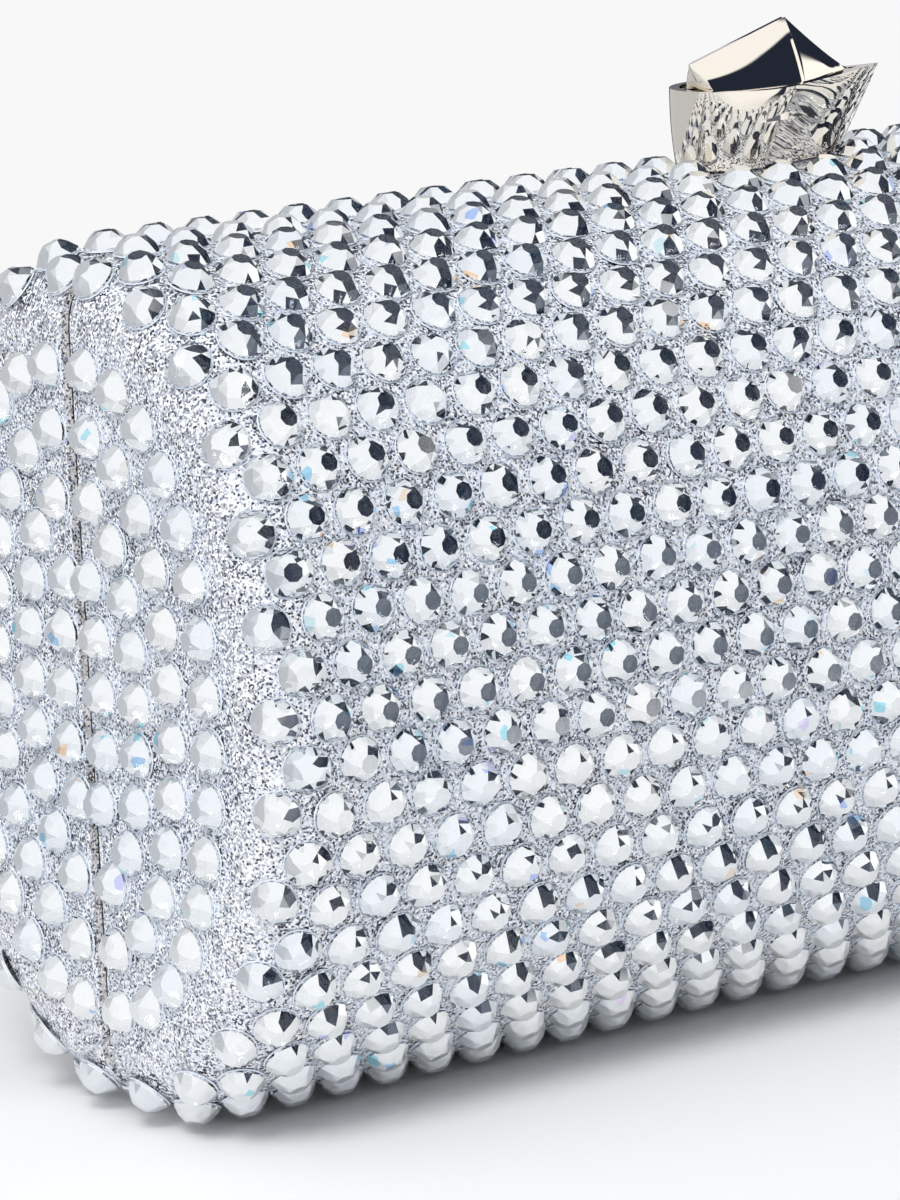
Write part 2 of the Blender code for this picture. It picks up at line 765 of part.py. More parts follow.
def fixing_places(side):
    """Returns where the two small screws of one half pass into its frame."""
    y = side * (FRAME_FACE_Y + FRAME_BACK_Y) / 2
    return [(STEM_X - FIXING_SPACING / 2, y), (STEM_X + FIXING_SPACING / 2, y)]


def small_screw_holes(side):
    """Returns the holes that take one half's small screws, through plate and frame."""
    top = FRAME_UNDER_Z + SMALL_SCREW_BITE + FIT_GAP
    low = PLATE_UNDER_Z - CUTTER_OVERRUN
    radius = SMALL_SCREW_RADIUS + FIT_GAP
    return merged([turned([(radius, low), (radius, top)], place, PIN_SIDES) for place in fixing_places(side)])


def screw(place, head_radius, head_height, radius, seat_z, tip_z):
    """Returns a screw with its head under seat_z and its tip at tip_z."""
    top = seat_z - FIT_GAP
    profile = [(head_radius, top - head_height), (head_radius, top), (radius, top), (radius, tip_z)]
    return turned(profile, place, PIN_SIDES)


def lining_drop(y):
    """Returns the height of the lining's inner face over a place y in the rear half."""
    curve = section(LINING_INSET + LINING_THICKNESS, SHELL_RIM_Y)
    upper = curve.z > BODY_CENTRE_Z
    return float(np.interp(abs(y), -curve.y[upper], curve.z[upper]))


def cup_screw_places():
    """Returns where the cup's two screws rise through the rear half."""
    return [(STEM_X - CUP_SCREW_SPACING / 2, CUP_SCREW_Y), (STEM_X + CUP_SCREW_SPACING / 2, CUP_SCREW_Y)]


def clasp_holes():
    """Returns the stem's and the cup screws' holes through the rear cover, shell and lining."""
    low = PLATE_UNDER_Z - CUTTER_OVERRUN
    top = CUP_BASE_Z + CUTTER_OVERRUN
    holes = [turned([(HOLE_RADIUS, low), (HOLE_RADIUS, top)], (STEM_X, STEM_Y), PIN_SIDES)]
    radius = SCREW_RADIUS + FIT_GAP
    for place in cup_screw_places():
        holes.append(turned([(radius, low), (radius, top)], place, PIN_SIDES))
    return merged(holes)


def make_half(side, materials):
    """Makes one half's cover, shell, frame and lining, and returns them in that order."""
    label = "rear" if side == REAR else "front"
    cover = add_mesh(label + "_cover", *stone_cover(side), materials["cover"])
    radius = KNUCKLE_RADIUS + COVER_HINGE_CLEARANCE
    end = HINGE_LENGTH / 2 + COVER_HINGE_CLEARANCE
    relief = bar(radius, -end, end, 0.0, HINGE_Z, TURNED_SIDES)
    combine(cover, add_cutter(label + "_hinge_relief", *relief), "DIFFERENCE")
    shell = tray(SHELL_INSET, SHELL_INSET + SHELL_THICKNESS, SHELL_RIM_Y, side)
    shell = add_mesh(label + "_shell", *shell, materials["shell"], smooth=True)
    lining = tray(LINING_INSET, LINING_INSET + LINING_THICKNESS, SHELL_RIM_Y, side)
    lining = add_mesh(label + "_lining", *lining, materials["lining"], smooth=True)
    frame = add_mesh(label + "_frame", *frame_ring(side), materials["nickel"])
    add_knuckles(frame, side)
    holes = add_cutter(label + "_frame_holes", *small_screw_holes(side))
    combine(frame, holes, "DIFFERENCE")
    return [cover, shell, frame, lining]


def make_cup(material):
    """Makes the clasp cup, with its well, spring bore and blind screw holes."""
    rings = [cup_ring(level) for level in CUP_LEVEL_SHARES]
    rings.append(inset_drop(CUP_RIM_WALL, RIM_Z))
    rings.append(inset_drop(CUP_RIM_WALL, WELL_FLOOR_Z))
    cup = add_mesh("clasp_cup", *loft(rings), material, smooth=True)
    low = CUP_BASE_Z - CUTTER_OVERRUN
    top = WELL_FLOOR_Z + CUTTER_OVERRUN
    profile = [(HOLE_RADIUS, low), (HOLE_RADIUS, SPRING_FLOOR_Z)]
    profile += [(SPRING_BORE_RADIUS, SPRING_FLOOR_Z), (SPRING_BORE_RADIUS, top)]
    holes = [turned(profile, (STEM_X, STEM_Y), TURNED_SIDES)]
    radius = SCREW_RADIUS + FIT_GAP
    for place in cup_screw_places():
        holes.append(turned([(radius, low), (radius, CUP_BASE_Z + CUP_SCREW_BITE + FIT_GAP)], place, PIN_SIDES))
    combine(cup, add_cutter("cup_holes", *merged(holes)), "DIFFERENCE")
    return cup


def ridge_height(x, bow_x, peak_x, stern_x):
    """Returns the height of the button's ridge over the rim, straight to the peak and hollow after it."""
    if x <= peak_x:
        share = (x - stern_x) / (peak_x - stern_x)
        return STERN_RIDGE_HEIGHT + (PEAK_HEIGHT - STERN_RIDGE_HEIGHT) * share
    share = (x - peak_x) / (bow_x - peak_x)
    return BOW_RIDGE_HEIGHT + (PEAK_HEIGHT - BOW_RIDGE_HEIGHT) * max(0.0, 1 - share) ** BOW_RIDGE_POWER


def make_button(material):
    """Makes the button block: a drop-shaped plug, and a ridge between two milled flats."""
    inset = CUP_RIM_WALL + BUTTON_GAP
    under = inset_drop(inset, PLUG_UNDER_Z)
    over = inset_drop(inset, PLUG_UNDER_Z + PLUG_THICKNESS)
    foot = inset_drop(inset + WAIST_STEP, PLUG_UNDER_Z + PLUG_THICKNESS + WAIST_STEP)
    bow_x = foot[0][0]
    stern_x = min(point[0] for point in foot)
    peak_x = foot[1 + DROP_SIDE_SHARES.index(PEAK_SIDE_SHARE)][0]
    ridge_bow_x = bow_x - RIDGE_BOW_INSET
    ridge_stern_x = stern_x + RIDGE_STERN_INSET
    shrink = (ridge_bow_x - ridge_stern_x) / (bow_x - stern_x)
    ridge_peak_x = ridge_bow_x + shrink * (peak_x - bow_x)
    waist = []
    ridge = []
    for x, y, z in foot:
        share = min(1.0, max(0.0, (peak_x - x) / (peak_x - stern_x)))
        limit = WAIST_HALF_WIDTH_NEAR_PEAK
        limit += (WAIST_HALF_WIDTH_AT_STERN - WAIST_HALF_WIDTH_NEAR_PEAK) * share
        across = max(-1.0, min(1.0, y / limit))
        waist.append((x, limit * across, z))
        ridge_x = ridge_bow_x + shrink * (x - bow_x)
        rise = ridge_height(ridge_x, ridge_bow_x, ridge_peak_x, ridge_stern_x)
        ridge.append((ridge_x, RIDGE_HALF_WIDTH * across, RIM_Z + rise))
    button = add_mesh("button_block", *loft([under, over, waist, ridge]), material)
    seat = [(HOLE_RADIUS, PLUG_UNDER_Z - CUTTER_OVERRUN), (HOLE_RADIUS, PLUG_UNDER_Z + STEM_SEAT_DEPTH)]
    combine(button, add_cutter("stem_seat", *turned(seat, (STEM_X, STEM_Y), PIN_SIDES)), "DIFFERENCE")
    return button


def make_stem(material):
    """Makes the stem, with the two collars that hold the lever between them."""
    profile = [
        (COLLAR_RADIUS, LEVER_UNDER_Z - COLLAR_GAP - COLLAR_THICKNESS),
        (COLLAR_RADIUS, LEVER_UNDER_Z - COLLAR_GAP),
        (STEM_RADIUS, LEVER_UNDER_Z - COLLAR_GAP),
        (STEM_RADIUS, LEVER_TOP_Z + COLLAR_GAP),
        (COLLAR_RADIUS, LEVER_TOP_Z + COLLAR_GAP),
        (COLLAR_RADIUS, LEVER_TOP_Z + COLLAR_GAP + COLLAR_THICKNESS),
        (STEM_RADIUS, LEVER_TOP_Z + COLLAR_GAP + COLLAR_THICKNESS),
        (STEM_RADIUS, PLUG_UNDER_Z + STEM_SEAT_DEPTH - FIT_GAP),
    ]
    return add_mesh("button_stem", *turned(profile, (STEM_X, STEM_Y), TURNED_SIDES), material, smooth=True)


def make_spring(material):
    """Makes the button's coil spring, one unbroken wire round the stem."""
    low = SPRING_FLOOR_Z + FIT_GAP + SPRING_WIRE_RADIUS
    high = PLUG_UNDER_Z - FIT_GAP - SPRING_WIRE_RADIUS
    steps = SPRING_TURNS * SPRING_POINTS_PER_TURN
    rings = []
    for step in range(steps + 1):
        angle = math.tau * step / SPRING_POINTS_PER_TURN
        outward = Vector((math.cos(angle), math.sin(angle), 0.0))
        centre = Vector((STEM_X, STEM_Y, low + (high - low) * step / steps)) + SPRING_RADIUS * outward
        ring = []
        for side in range(WIRE_SIDES):
            turn = math.tau * side / WIRE_SIDES
            up = Vector((0.0, 0.0, math.sin(turn)))
            ring.append(tuple(centre + SPRING_WIRE_RADIUS * (up + math.cos(turn) * outward)))
        rings.append(ring)
    points, faces = loft(rings)
    ends = [list(range(WIRE_SIDES))[::-1], list(range(len(points) - WIRE_SIDES, len(points)))]
    faces = [face for face in faces if max(face) - min(face) >= WIRE_SIDES] + ends
    return add_mesh("button_spring", points, [face[::-1] for face in faces], material, smooth=True)


def make_bracket(material):
    """Makes the latch bracket: a wing under the rear frame, and a plate whose cheeks carry the catch pin."""
    low = (STEM_X - BRACKET_LENGTH / 2, PLATE_MOUTH_GAP, PLATE_UNDER_Z)
    high = (STEM_X + BRACKET_LENGTH / 2, FRAME_BACK_Y, PLATE_TOP_Z)
    bracket = add_mesh("latch_bracket", *box(low, high), material)
    inner = LEVER_WIDTH / 2 + LEVER_SIDE_GAP
    outer = inner + CHEEK_THICKNESS
    middle_z = (PLATE_UNDER_Z + PLATE_TOP_Z) / 2
    plate_back = PLATE_MOUTH_GAP + BRACKET_DEPTH
    low = (STEM_X - outer, (PLATE_MOUTH_GAP + FRAME_BACK_Y) / 2, PLATE_UNDER_Z)
    plate = box(low, (STEM_X + outer, plate_back, PLATE_TOP_Z))
    combine(bracket, add_cutter("bracket_plate", *plate), "UNION")
    front = PLATE_MOUTH_GAP + CHEEK_THICKNESS
    outline = [
        (front, middle_z),
        (front, PLATE_UNDER_Z - CHEEK_THICKNESS),
        (PIVOT_Y - LEVER_HUB_RADIUS, PLATE_UNDER_Z - CHEEK_DROP),
        (CHEEK_BACK, PLATE_UNDER_Z - CHEEK_DROP),
        (CHEEK_BACK, middle_z - CHEEK_BACK_DROP),
        (plate_back, middle_z),
    ]
    cheeks = []
    for sign in (-1, 1):
        start, end = sorted((STEM_X + sign * inner, STEM_X + sign * outer))
        cheeks.append(side_plate(outline, start, end))
    combine(bracket, add_cutter("bracket_cheeks", *merged(cheeks)), "UNION")
    reach = outer + CUTTER_OVERRUN
    hole = bar(CATCH_PIN_RADIUS + PIN_CLEARANCE, STEM_X - reach, STEM_X + reach, PIVOT_Y, PIVOT_Z, TURNED_SIDES)
    combine(bracket, add_cutter("bracket_pin_holes", *hole), "DIFFERENCE")
    low = PLATE_UNDER_Z - CUTTER_OVERRUN
    high = PLATE_TOP_Z + CUTTER_OVERRUN
    stem_hole = turned([(HOLE_RADIUS, low), (HOLE_RADIUS, high)], (STEM_X, STEM_Y), PIN_SIDES)
    combine(bracket, add_cutter("bracket_stem_hole", *stem_hole), "DIFFERENCE")
    combine(bracket, bpy.data.objects["rear_frame_holes"], "DIFFERENCE")
    return bracket


def make_lever(material):
    """Makes the catch lever: a hub on the pin, a slotted arm round the stem, and an upright tooth."""
    tooth_back = -(FRAME_BACK_Y + TOOTH_GAP)
    tooth_front = tooth_back - TOOTH_THICKNESS
    outline = [
        (tooth_front, LEVER_UNDER_Z),
        (PIVOT_Y, LEVER_UNDER_Z),
        (PIVOT_Y, LEVER_TOP_Z),
        (tooth_back, LEVER_TOP_Z),
        (tooth_back, LEVER_TOP_Z + TOOTH_RISE),
        (tooth_front + TOOTH_BEVEL_WIDTH, LEVER_TOP_Z + TOOTH_RISE),
        (tooth_front, LEVER_TOP_Z + TOOTH_RISE - TOOTH_BEVEL_HEIGHT),
    ]
    start = STEM_X - LEVER_WIDTH / 2
    end = STEM_X + LEVER_WIDTH / 2
    lever = add_mesh("catch_lever", *side_plate(outline, start, end), material)
    hub = bar(LEVER_HUB_RADIUS, start, end, PIVOT_Y, PIVOT_Z, TURNED_SIDES)
    combine(lever, add_cutter("lever_hub", *hub), "UNION")
    radius = CATCH_PIN_RADIUS + PIN_CLEARANCE
    hole = bar(radius, start - CUTTER_OVERRUN, end + CUTTER_OVERRUN, PIVOT_Y, PIVOT_Z, TURNED_SIDES)
    combine(lever, add_cutter("lever_pin_hole", *hole), "DIFFERENCE")
    half = STEM_RADIUS + FIT_GAP
    low = (STEM_X - half, STEM_Y - LEVER_SLOT_LENGTH / 2, LEVER_UNDER_Z - CUTTER_OVERRUN)
    high = (STEM_X + half, STEM_Y + LEVER_SLOT_LENGTH / 2, LEVER_TOP_Z + CUTTER_OVERRUN)
    combine(lever, add_cutter("lever_slot", *box(low, high)), "DIFFERENCE")
    return lever


def make_striker(material):
    """Makes the striker: a foot under the front frame, and the lip behind which the tooth stands."""
    low = (STEM_X - BRACKET_LENGTH / 2, -FRAME_BACK_Y, PLATE_UNDER_Z)
    high = (STEM_X + BRACKET_LENGTH / 2, -PLATE_MOUTH_GAP, PLATE_TOP_Z)
    striker = add_mesh("latch_striker", *box(low, high), material)
    low = (STEM_X - STRIKER_HOOK_WIDTH / 2, -FRAME_BACK_Y, PLATE_UNDER_Z - STRIKER_DROP)
    high = (STEM_X + STRIKER_HOOK_WIDTH / 2, -FRAME_BACK_Y + STRIKER_THICKNESS, (PLATE_TOP_Z + PLATE_UNDER_Z) / 2)
    combine(striker, add_cutter("striker_lip", *box(low, high)), "UNION")
    combine(striker, bpy.data.objects["front_frame_holes"], "DIFFERENCE")
    return striker


def add_pivot(name, place, children):
    """Adds an empty on a joint's axis, or at a fixed place, and parents the pieces to it."""
    pivot = bpy.data.objects.new(name, None)
    pivot.location = place
    bpy.context.scene.collection.objects.link(pivot)
    for child in children:
        child.parent = pivot
        child.matrix_parent_inverse = Matrix.Translation(-Vector(place))
    return pivot


def make_small_screws(side, names, material):
    """Makes the two screws that hold the bracket or the striker to its frame."""
    screws = []
    for name, place in zip(names, fixing_places(side)):
        solid = screw(
            place,
            SMALL_SCREW_HEAD_RADIUS,
            SMALL_SCREW_HEAD_HEIGHT,
            SMALL_SCREW_RADIUS,
            PLATE_UNDER_Z,
            FRAME_UNDER_Z + SMALL_SCREW_BITE,
        )
        screws.append(add_mesh(name, *solid, material, smooth=True))
    return screws


def make_cup_screws(material):
    """Makes the two screws that hold the cup from inside the rear half."""
    screws = []
    for name, place in zip(("cup_screw_left", "cup_screw_right"), cup_screw_places()):
        solid = screw(
            place,
            SCREW_HEAD_RADIUS,
            SCREW_HEAD_HEIGHT,
            SCREW_RADIUS,
            lining_drop(place[1] + SCREW_HEAD_RADIUS),
            CUP_BASE_Z + CUP_SCREW_BITE,
        )
        screws.append(add_mesh(name, *solid, material, smooth=True))
    return screws


def make_bag():
    """Makes the whole bag."""
    for old in list(bpy.data.objects):
        bpy.data.objects.remove(old, do_unlink=True)
    materials = make_materials()
    nickel = materials["nickel"]
    steel = materials["steel"]

    rear = make_half(REAR, materials)
    holes = add_cutter("clasp_hole_cutter", *clasp_holes())
    for part in (rear[0], rear[1], rear[3]):
        combine(part, holes, "DIFFERENCE")
    front = make_half(FRONT, materials)

    button = make_button(nickel)
    stem = make_stem(steel)

    end = HINGE_LENGTH / 2
    pin = bar(HINGE_PIN_RADIUS, -end, end, 0.0, HINGE_Z, PIN_SIDES)
    hinge_pin = add_mesh("hinge_pin", *pin, steel, smooth=True)
    reach = LEVER_WIDTH / 2 + LEVER_SIDE_GAP + CHEEK_THICKNESS + PIN_OVERHANG
    pin = bar(CATCH_PIN_RADIUS, STEM_X - reach, STEM_X + reach, PIVOT_Y, PIVOT_Z, PIN_SIDES)
    catch_pin = add_mesh("catch_pin", *pin, steel, smooth=True)

    rear += [make_cup(nickel), make_bracket(steel), make_spring(steel), hinge_pin, catch_pin]
    rear += make_cup_screws(steel)
    rear += make_small_screws(REAR, ("bracket_screw_left", "bracket_screw_right"), steel)
    front += [make_striker(steel)]
    front += make_small_screws(FRONT, ("striker_screw_left", "striker_screw_right"), steel)

    add_pivot("rear_half", (0.0, 0.0, 0.0), rear)
    add_pivot("front_half_hinge", HINGE_CENTRE, front)
    add_pivot("button_slide", (STEM_X, STEM_Y, PLUG_UNDER_Z), [button, stem])
    add_pivot("catch_pivot", (STEM_X, PIVOT_Y, PIVOT_Z), [make_lever(steel)])


make_bag()
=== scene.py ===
"""Dresses the stone-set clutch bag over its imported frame: stones, fabric, lining, metal and studio."""

from __future__ import annotations

import logging
import math
from dataclasses import dataclass, field
from enum import Enum, IntEnum
from functools import lru_cache

import bmesh
import bpy
import numpy as np
from mathutils import Matrix, Vector

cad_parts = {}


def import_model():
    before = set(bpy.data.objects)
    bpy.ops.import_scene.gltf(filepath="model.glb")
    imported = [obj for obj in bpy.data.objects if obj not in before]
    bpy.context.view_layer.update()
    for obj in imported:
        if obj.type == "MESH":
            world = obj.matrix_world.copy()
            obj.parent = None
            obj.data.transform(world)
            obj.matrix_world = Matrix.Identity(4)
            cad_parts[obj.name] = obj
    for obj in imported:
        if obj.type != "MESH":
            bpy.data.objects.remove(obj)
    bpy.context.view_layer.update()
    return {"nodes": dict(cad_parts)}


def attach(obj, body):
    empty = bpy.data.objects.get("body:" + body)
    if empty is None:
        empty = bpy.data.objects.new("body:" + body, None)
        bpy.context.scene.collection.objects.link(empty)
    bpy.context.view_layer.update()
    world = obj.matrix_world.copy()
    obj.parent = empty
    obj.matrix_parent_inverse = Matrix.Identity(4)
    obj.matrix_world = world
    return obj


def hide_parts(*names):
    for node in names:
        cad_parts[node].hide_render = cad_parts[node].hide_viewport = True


LOG = logging.getLogger("clutch_bag")
Point = tuple[float, float, float]
Colour = tuple[float, float, float]
Socket = bpy.types.NodeSocket
Piece = bpy.types.Object

# One millimetre in metres
MM = 0.001
# The middle of a noise value, and of each channel of a random colour
MIDDLE = 0.5
# Makes share * (1 - share) reach 1 halfway
HUMP = 4
# Points nearer to each other than this, in metres, become one
MERGE_DISTANCE = 1e-6
UPRIGHT_BAR_SIDES = 24
LEVEL_BAR_SIDES = 32


class Half(Enum):
    """The two halves of the bag, by the side of the mouth plane on which they lie."""

    FRONT = -1
    REAR = 1

    @property
    def label(self) -> str:
        """Returns the first word of this half's piece names."""
        return "front" if self is Half.FRONT else "rear"

    @property
    def body(self) -> str:
        """Returns the body that this half's pieces ride on."""
        return self.label + "_half"


class Slot(Enum):
    """The record's material slots that the new pieces belong to."""

    STONES = "stone_set_fabric"
    NICKEL = "warm_nickel"
    LINING = "suede_lining"


class StonePart(IntEnum):
    """The parts of a stone, by the number of their finish."""

    GLASS = 0
    FOIL = 1
    RESIN = 2


# Node graphs and finishes


@dataclass(frozen=True)
class Grain:
    """A noise over the object, and how far it bends the surface where it is used as a relief."""

    scale: float
    detail: float = 2.0
    roughness: float = 0.5
    strength: float = 0.0
    height: float = 0.0


class NodeGraph:
    """A material's or world's node tree with short calls to add and join its nodes."""

    def __init__(self, owner: bpy.types.ID) -> None:
        """Empties the owner's node tree.

        Args:
            owner: The material or world that the nodes are for.
        """
        owner.use_nodes = True
        self.tree = owner.node_tree
        self.tree.nodes.clear()

    def add(self, kind: str, inputs: dict | None = None, **settings: object) -> bpy.types.Node:
        """Adds a node.

        Args:
            kind: The node's type name.
            inputs: Values or output sockets for its inputs, by name or number.
            **settings: Values for the node's own settings.

        Returns:
            The new node.
        """
        node = self.tree.nodes.new(kind)
        for name, value in settings.items():
            setattr(node, name, value)
        for name, value in (inputs or {}).items():
            if isinstance(value, Socket):
                self.tree.links.new(value, node.inputs[name])
            else:
                node.inputs[name].default_value = value
        return node

    def math(self, operation: str, *values: object) -> Socket:
        """Returns the result of a Math node on numbers or sockets."""
        return self.add("ShaderNodeMath", dict(enumerate(values)), operation=operation).outputs[0]

    def vector(self, operation: str, *values: object) -> Socket:
        """Returns the vector that a Vector Math node makes of vectors or sockets."""
        return self.add("ShaderNodeVectorMath", dict(enumerate(values)), operation=operation).outputs[0]

    def ramp(self, factor: Socket, stops: tuple[tuple[float, Colour], ...]) -> Socket:
        """Returns the colour of a ramp.

        Args:
            factor: The socket that runs along the ramp.
            stops: Pairs of place and colour.

        Returns:
            The ramp's colour socket.
        """
        node = self.add("ShaderNodeValToRGB", {"Fac": factor})
        elements = node.color_ramp.elements
        while len(elements) < len(stops):
            elements.new(MIDDLE)
        for element, (place, colour) in zip(elements, stops):
            element.position = place
            element.color = (*colour, 1.0)
        return node.outputs["Color"]

    def mix(self, factor: object, first: object, second: object) -> Socket:
        """Returns the blend of two colours or sockets, the second one where the factor is 1."""
        colours = [(*value, 1.0) if isinstance(value, tuple) else value for value in (first, second)]
        # The colour sockets of this node share their names with others, so they go by number
        node = self.add("ShaderNodeMix", {0: factor, 6: colours[0], 7: colours[1]}, data_type="RGBA")
        return node.outputs[2]

    def remap(
        self,
        value: Socket,
        source: tuple[float, float] = (0.0, 1.0),
        target: tuple[float, float] = (0.0, 1.0),
        smooth: bool = False,
    ) -> Socket:
        """Returns a value moved from one range to another.

        Args:
            value: The value's socket.
            source: The two ends of the range that it comes from.
            target: The two ends of the range that it goes to.
            smooth: Whether it leaves and reaches the ends softly.

        Returns:
            The new value's socket.
        """
        inputs = {"Value": value, "From Min": source[0], "From Max": source[1]}
        inputs.update({"To Min": target[0], "To Max": target[1]})
        kind = "SMOOTHSTEP" if smooth else "LINEAR"
        return self.add("ShaderNodeMapRange", inputs, interpolation_type=kind).outputs["Result"]

    def place(self) -> Socket:
        """Returns the object's own coordinates, in metres."""
        return self.add("ShaderNodeTexCoord").outputs["Object"]

    def island(self) -> Socket:
        """Returns a random number for each separate part of the mesh."""
        return self.add("ShaderNodeNewGeometry").outputs["Random Per Island"]

    def cells(self, size: float, randomness: float = 1.0) -> Socket:
        """Returns a random colour for each cell of a size in metres."""
        inputs = {"Vector": self.place(), "Scale": 1.0 / size, "Randomness": randomness}
        return self.add("ShaderNodeTexVoronoi", inputs).outputs["Color"]

    def channels(self, colour: Socket) -> bpy.types.bpy_prop_collection:
        """Returns the three channels of a colour."""
        return self.add("ShaderNodeSeparateColor", {"Color": colour}).outputs

    def noise(self, grain: Grain, place: Socket | None = None) -> Socket:
        """Returns a grain's noise over a place, or else over the object's coordinates."""
        inputs = {
            "Vector": self.place() if place is None else place,
            "Scale": grain.scale,
            "Detail": grain.detail,
            "Roughness": grain.roughness,
        }
        return self.add("ShaderNodeTexNoise", inputs).outputs["Fac"]

    def bump(self, value: Socket, grain: Grain) -> Socket:
        """Returns the normal bent by a value, as strongly as the grain says."""
        inputs = {"Height": value, "Strength": grain.strength, "Distance": grain.height}
        return self.add("ShaderNodeBump", inputs).outputs["Normal"]

    def principled(self, inputs: dict) -> Socket:
        """Returns the shader of a Principled node with these inputs."""
        return self.add("ShaderNodeBsdfPrincipled", inputs).outputs["BSDF"]

    def finish(self, shader: Socket, output: str = "ShaderNodeOutputMaterial") -> None:
        """Joins the last shader to the output node."""
        self.add(output, {"Surface": shader})


@dataclass(frozen=True)
class Finish:
    """What all finishes share: a name, and a material made once from it."""

    name: str = "finish"

    def build(self, graph: NodeGraph) -> Socket:
        """Adds the finish's nodes and returns its shader."""
        raise NotImplementedError

    def material(self) -> bpy.types.Material:
        """Returns this finish's material, made at its first use."""
        found = bpy.data.materials.get(self.name)
        if found is None:
            found = bpy.data.materials.new(self.name)
            graph = NodeGraph(found)
            graph.finish(self.build(graph))
        return found


@dataclass(frozen=True)
class CutGlass(Finish):
    """Cut glass with a silver bloom that differs a little from stone to stone, and a few painted glints."""

    name: str = "cut_glass"
    tint: Colour = (0.99, 1.0, 1.0)
    smoky: Colour = (0.93, 0.965, 1.0)
    ior: float = 1.52
    bloom: float = 0.82
    painted_glint_size: float = 1.1 * MM
    painted_glint_rarity: float = 0.983
    # Painted glints: the colours of the few cells that stand in for prismatic flashes of light
    painted_glint_hues: tuple[tuple[float, Colour], ...] = (
        (0.0, (1.0, 0.72, 0.50)),
        (0.2, (0.80, 0.92, 0.95)),
        (0.5, (0.42, 0.82, 0.95)),
        (0.8, (0.50, 0.62, 1.0)),
        (1.0, (0.90, 0.78, 1.0)),
    )

    def build(self, graph: NodeGraph) -> Socket:
        """Adds the glass and its painted glints, and returns their shader."""
        plain = graph.mix(graph.island(), self.tint, self.smoky)
        parts = graph.channels(graph.cells(self.painted_glint_size))
        # Painted glint: a few cells take a colour from the ramp in place of the plain tint, standing in for
        # flashes of light
        painted_glint_mask = graph.math("GREATER_THAN", parts[0], self.painted_glint_rarity)
        inputs = {
            "Base Color": graph.mix(painted_glint_mask, plain, graph.ramp(parts[1], self.painted_glint_hues)),
            "Roughness": 0.0,
            "IOR": self.ior,
            "Transmission Weight": 1.0,
            "Metallic": self.bloom,
        }
        return graph.principled(inputs)


@dataclass(frozen=True)
class MirrorFoil(Finish):
    """The silver foil behind each stone."""

    name: str = "mirror_foil"
    silver: Colour = (1.0, 1.0, 1.0)
    cool: Colour = (0.92, 0.95, 1.0)
    roughness: float = 0.02

    def build(self, graph: NodeGraph) -> Socket:
        """Adds the foil and returns its shader."""
        colour = graph.mix(graph.island(), self.silver, self.cool)
        return graph.principled({"Base Color": colour, "Metallic": 1.0, "Roughness": self.roughness})


@dataclass(frozen=True)
class GlitterCloth(Finish):
    """Silver glitter fabric: small flakes that each lie at their own angle."""

    name: str = "glitter_cloth"
    flake_size: float = 0.21 * MM
    flake_randomness: float = 0.9
    patches: Grain = Grain(170.0, 3.0)
    patch_share: float = 0.5
    dark: Colour = (0.006, 0.008, 0.02)
    grey: Colour = (0.50, 0.56, 0.72)
    silver: Colour = (0.92, 0.95, 1.0)
    bright: Colour = (1.0, 1.0, 1.0)
    lilac: Colour = (0.82, 0.85, 1.0)
    lilac_share: float = 0.25
    tilt: float = 1.1
    plain_share: float = 0.5
    roughness: float = 0.15

    @property
    def stops(self) -> tuple[tuple[float, Colour], ...]:
        """Returns the flakes' colours from the darkest to the brightest, each with its place."""
        dark = ((0.0, self.dark), (0.14, self.dark))
        return dark + ((0.16, self.grey), (0.40, self.silver), (0.6, self.bright))

    def build(self, graph: NodeGraph) -> Socket:
        """Adds the flakes and returns their shader."""
        flakes = graph.cells(self.flake_size, self.flake_randomness)
        parts = graph.channels(flakes)
        patches = graph.math("SUBTRACT", graph.noise(self.patches), MIDDLE)
        speckle = graph.ramp(graph.math("MULTIPLY_ADD", patches, self.patch_share, parts[0]), self.stops)
        colour = graph.mix(graph.math("MULTIPLY", parts[2], self.lilac_share), speckle, self.lilac)
        centred = graph.vector("SUBTRACT", flakes, (MIDDLE,) * 3)
        leaning = graph.vector("MULTIPLY", centred, (self.tilt,) * 3)
        normal = graph.add("ShaderNodeNewGeometry").outputs["Normal"]
        inputs = {
            "Base Color": colour,
            "Metallic": graph.math("GREATER_THAN", parts[1], self.plain_share),
            "Roughness": self.roughness,
            "Normal": graph.vector("NORMALIZE", graph.vector("ADD", normal, leaning)),
        }
        return graph.principled(inputs)


@dataclass(frozen=True)
class Surface(Finish):
    """A plainer finish: two tones in patches, a roughness, and a fine relief where there is one.

    The roughness runs between its two ends by the rubbing, and is the first one where there is no rubbing.
    """

    tones: tuple[Colour, Colour] = ((0.5, 0.5, 0.5), (0.5, 0.5, 0.5))
    patches: Grain = Grain(60.0)
    roughness: tuple[float, float] = (0.5, 0.5)
    rubbing: Grain | None = None
    relief: Grain | None = None
    stretch: Point = (1.0, 1.0, 1.0)
    metallic: float = 0.0
    sheen: float = 0.0
    sheen_roughness: float = 0.4

    def build(self, graph: NodeGraph) -> Socket:
        """Adds the tones, the roughness and the relief, and returns their shader."""
        stretched = graph.add("ShaderNodeMapping", {"Vector": graph.place(), "Scale": self.stretch})
        place = stretched.outputs["Vector"]
        inputs = {
            "Base Color": graph.mix(graph.noise(self.patches, place), *self.tones),
            "Roughness": self.roughness[0],
            "Metallic": self.metallic,
            "Sheen Weight": self.sheen,
            "Sheen Roughness": self.sheen_roughness,
        }
        if self.rubbing is not None:
            inputs["Roughness"] = graph.remap(graph.noise(self.rubbing, place), target=self.roughness)
        if self.relief is not None:
            inputs["Normal"] = graph.bump(graph.noise(self.relief, place), self.relief)
        return graph.principled(inputs)


# The lilac-grey resin ring that holds each stone
RESIN = Surface(
    "setting_resin",
    ((0.60, 0.66, 0.84), (0.90, 0.99, 1.0)),
    Grain(900.0),
    (0.15, 0.15),
    metallic=0.3,
)
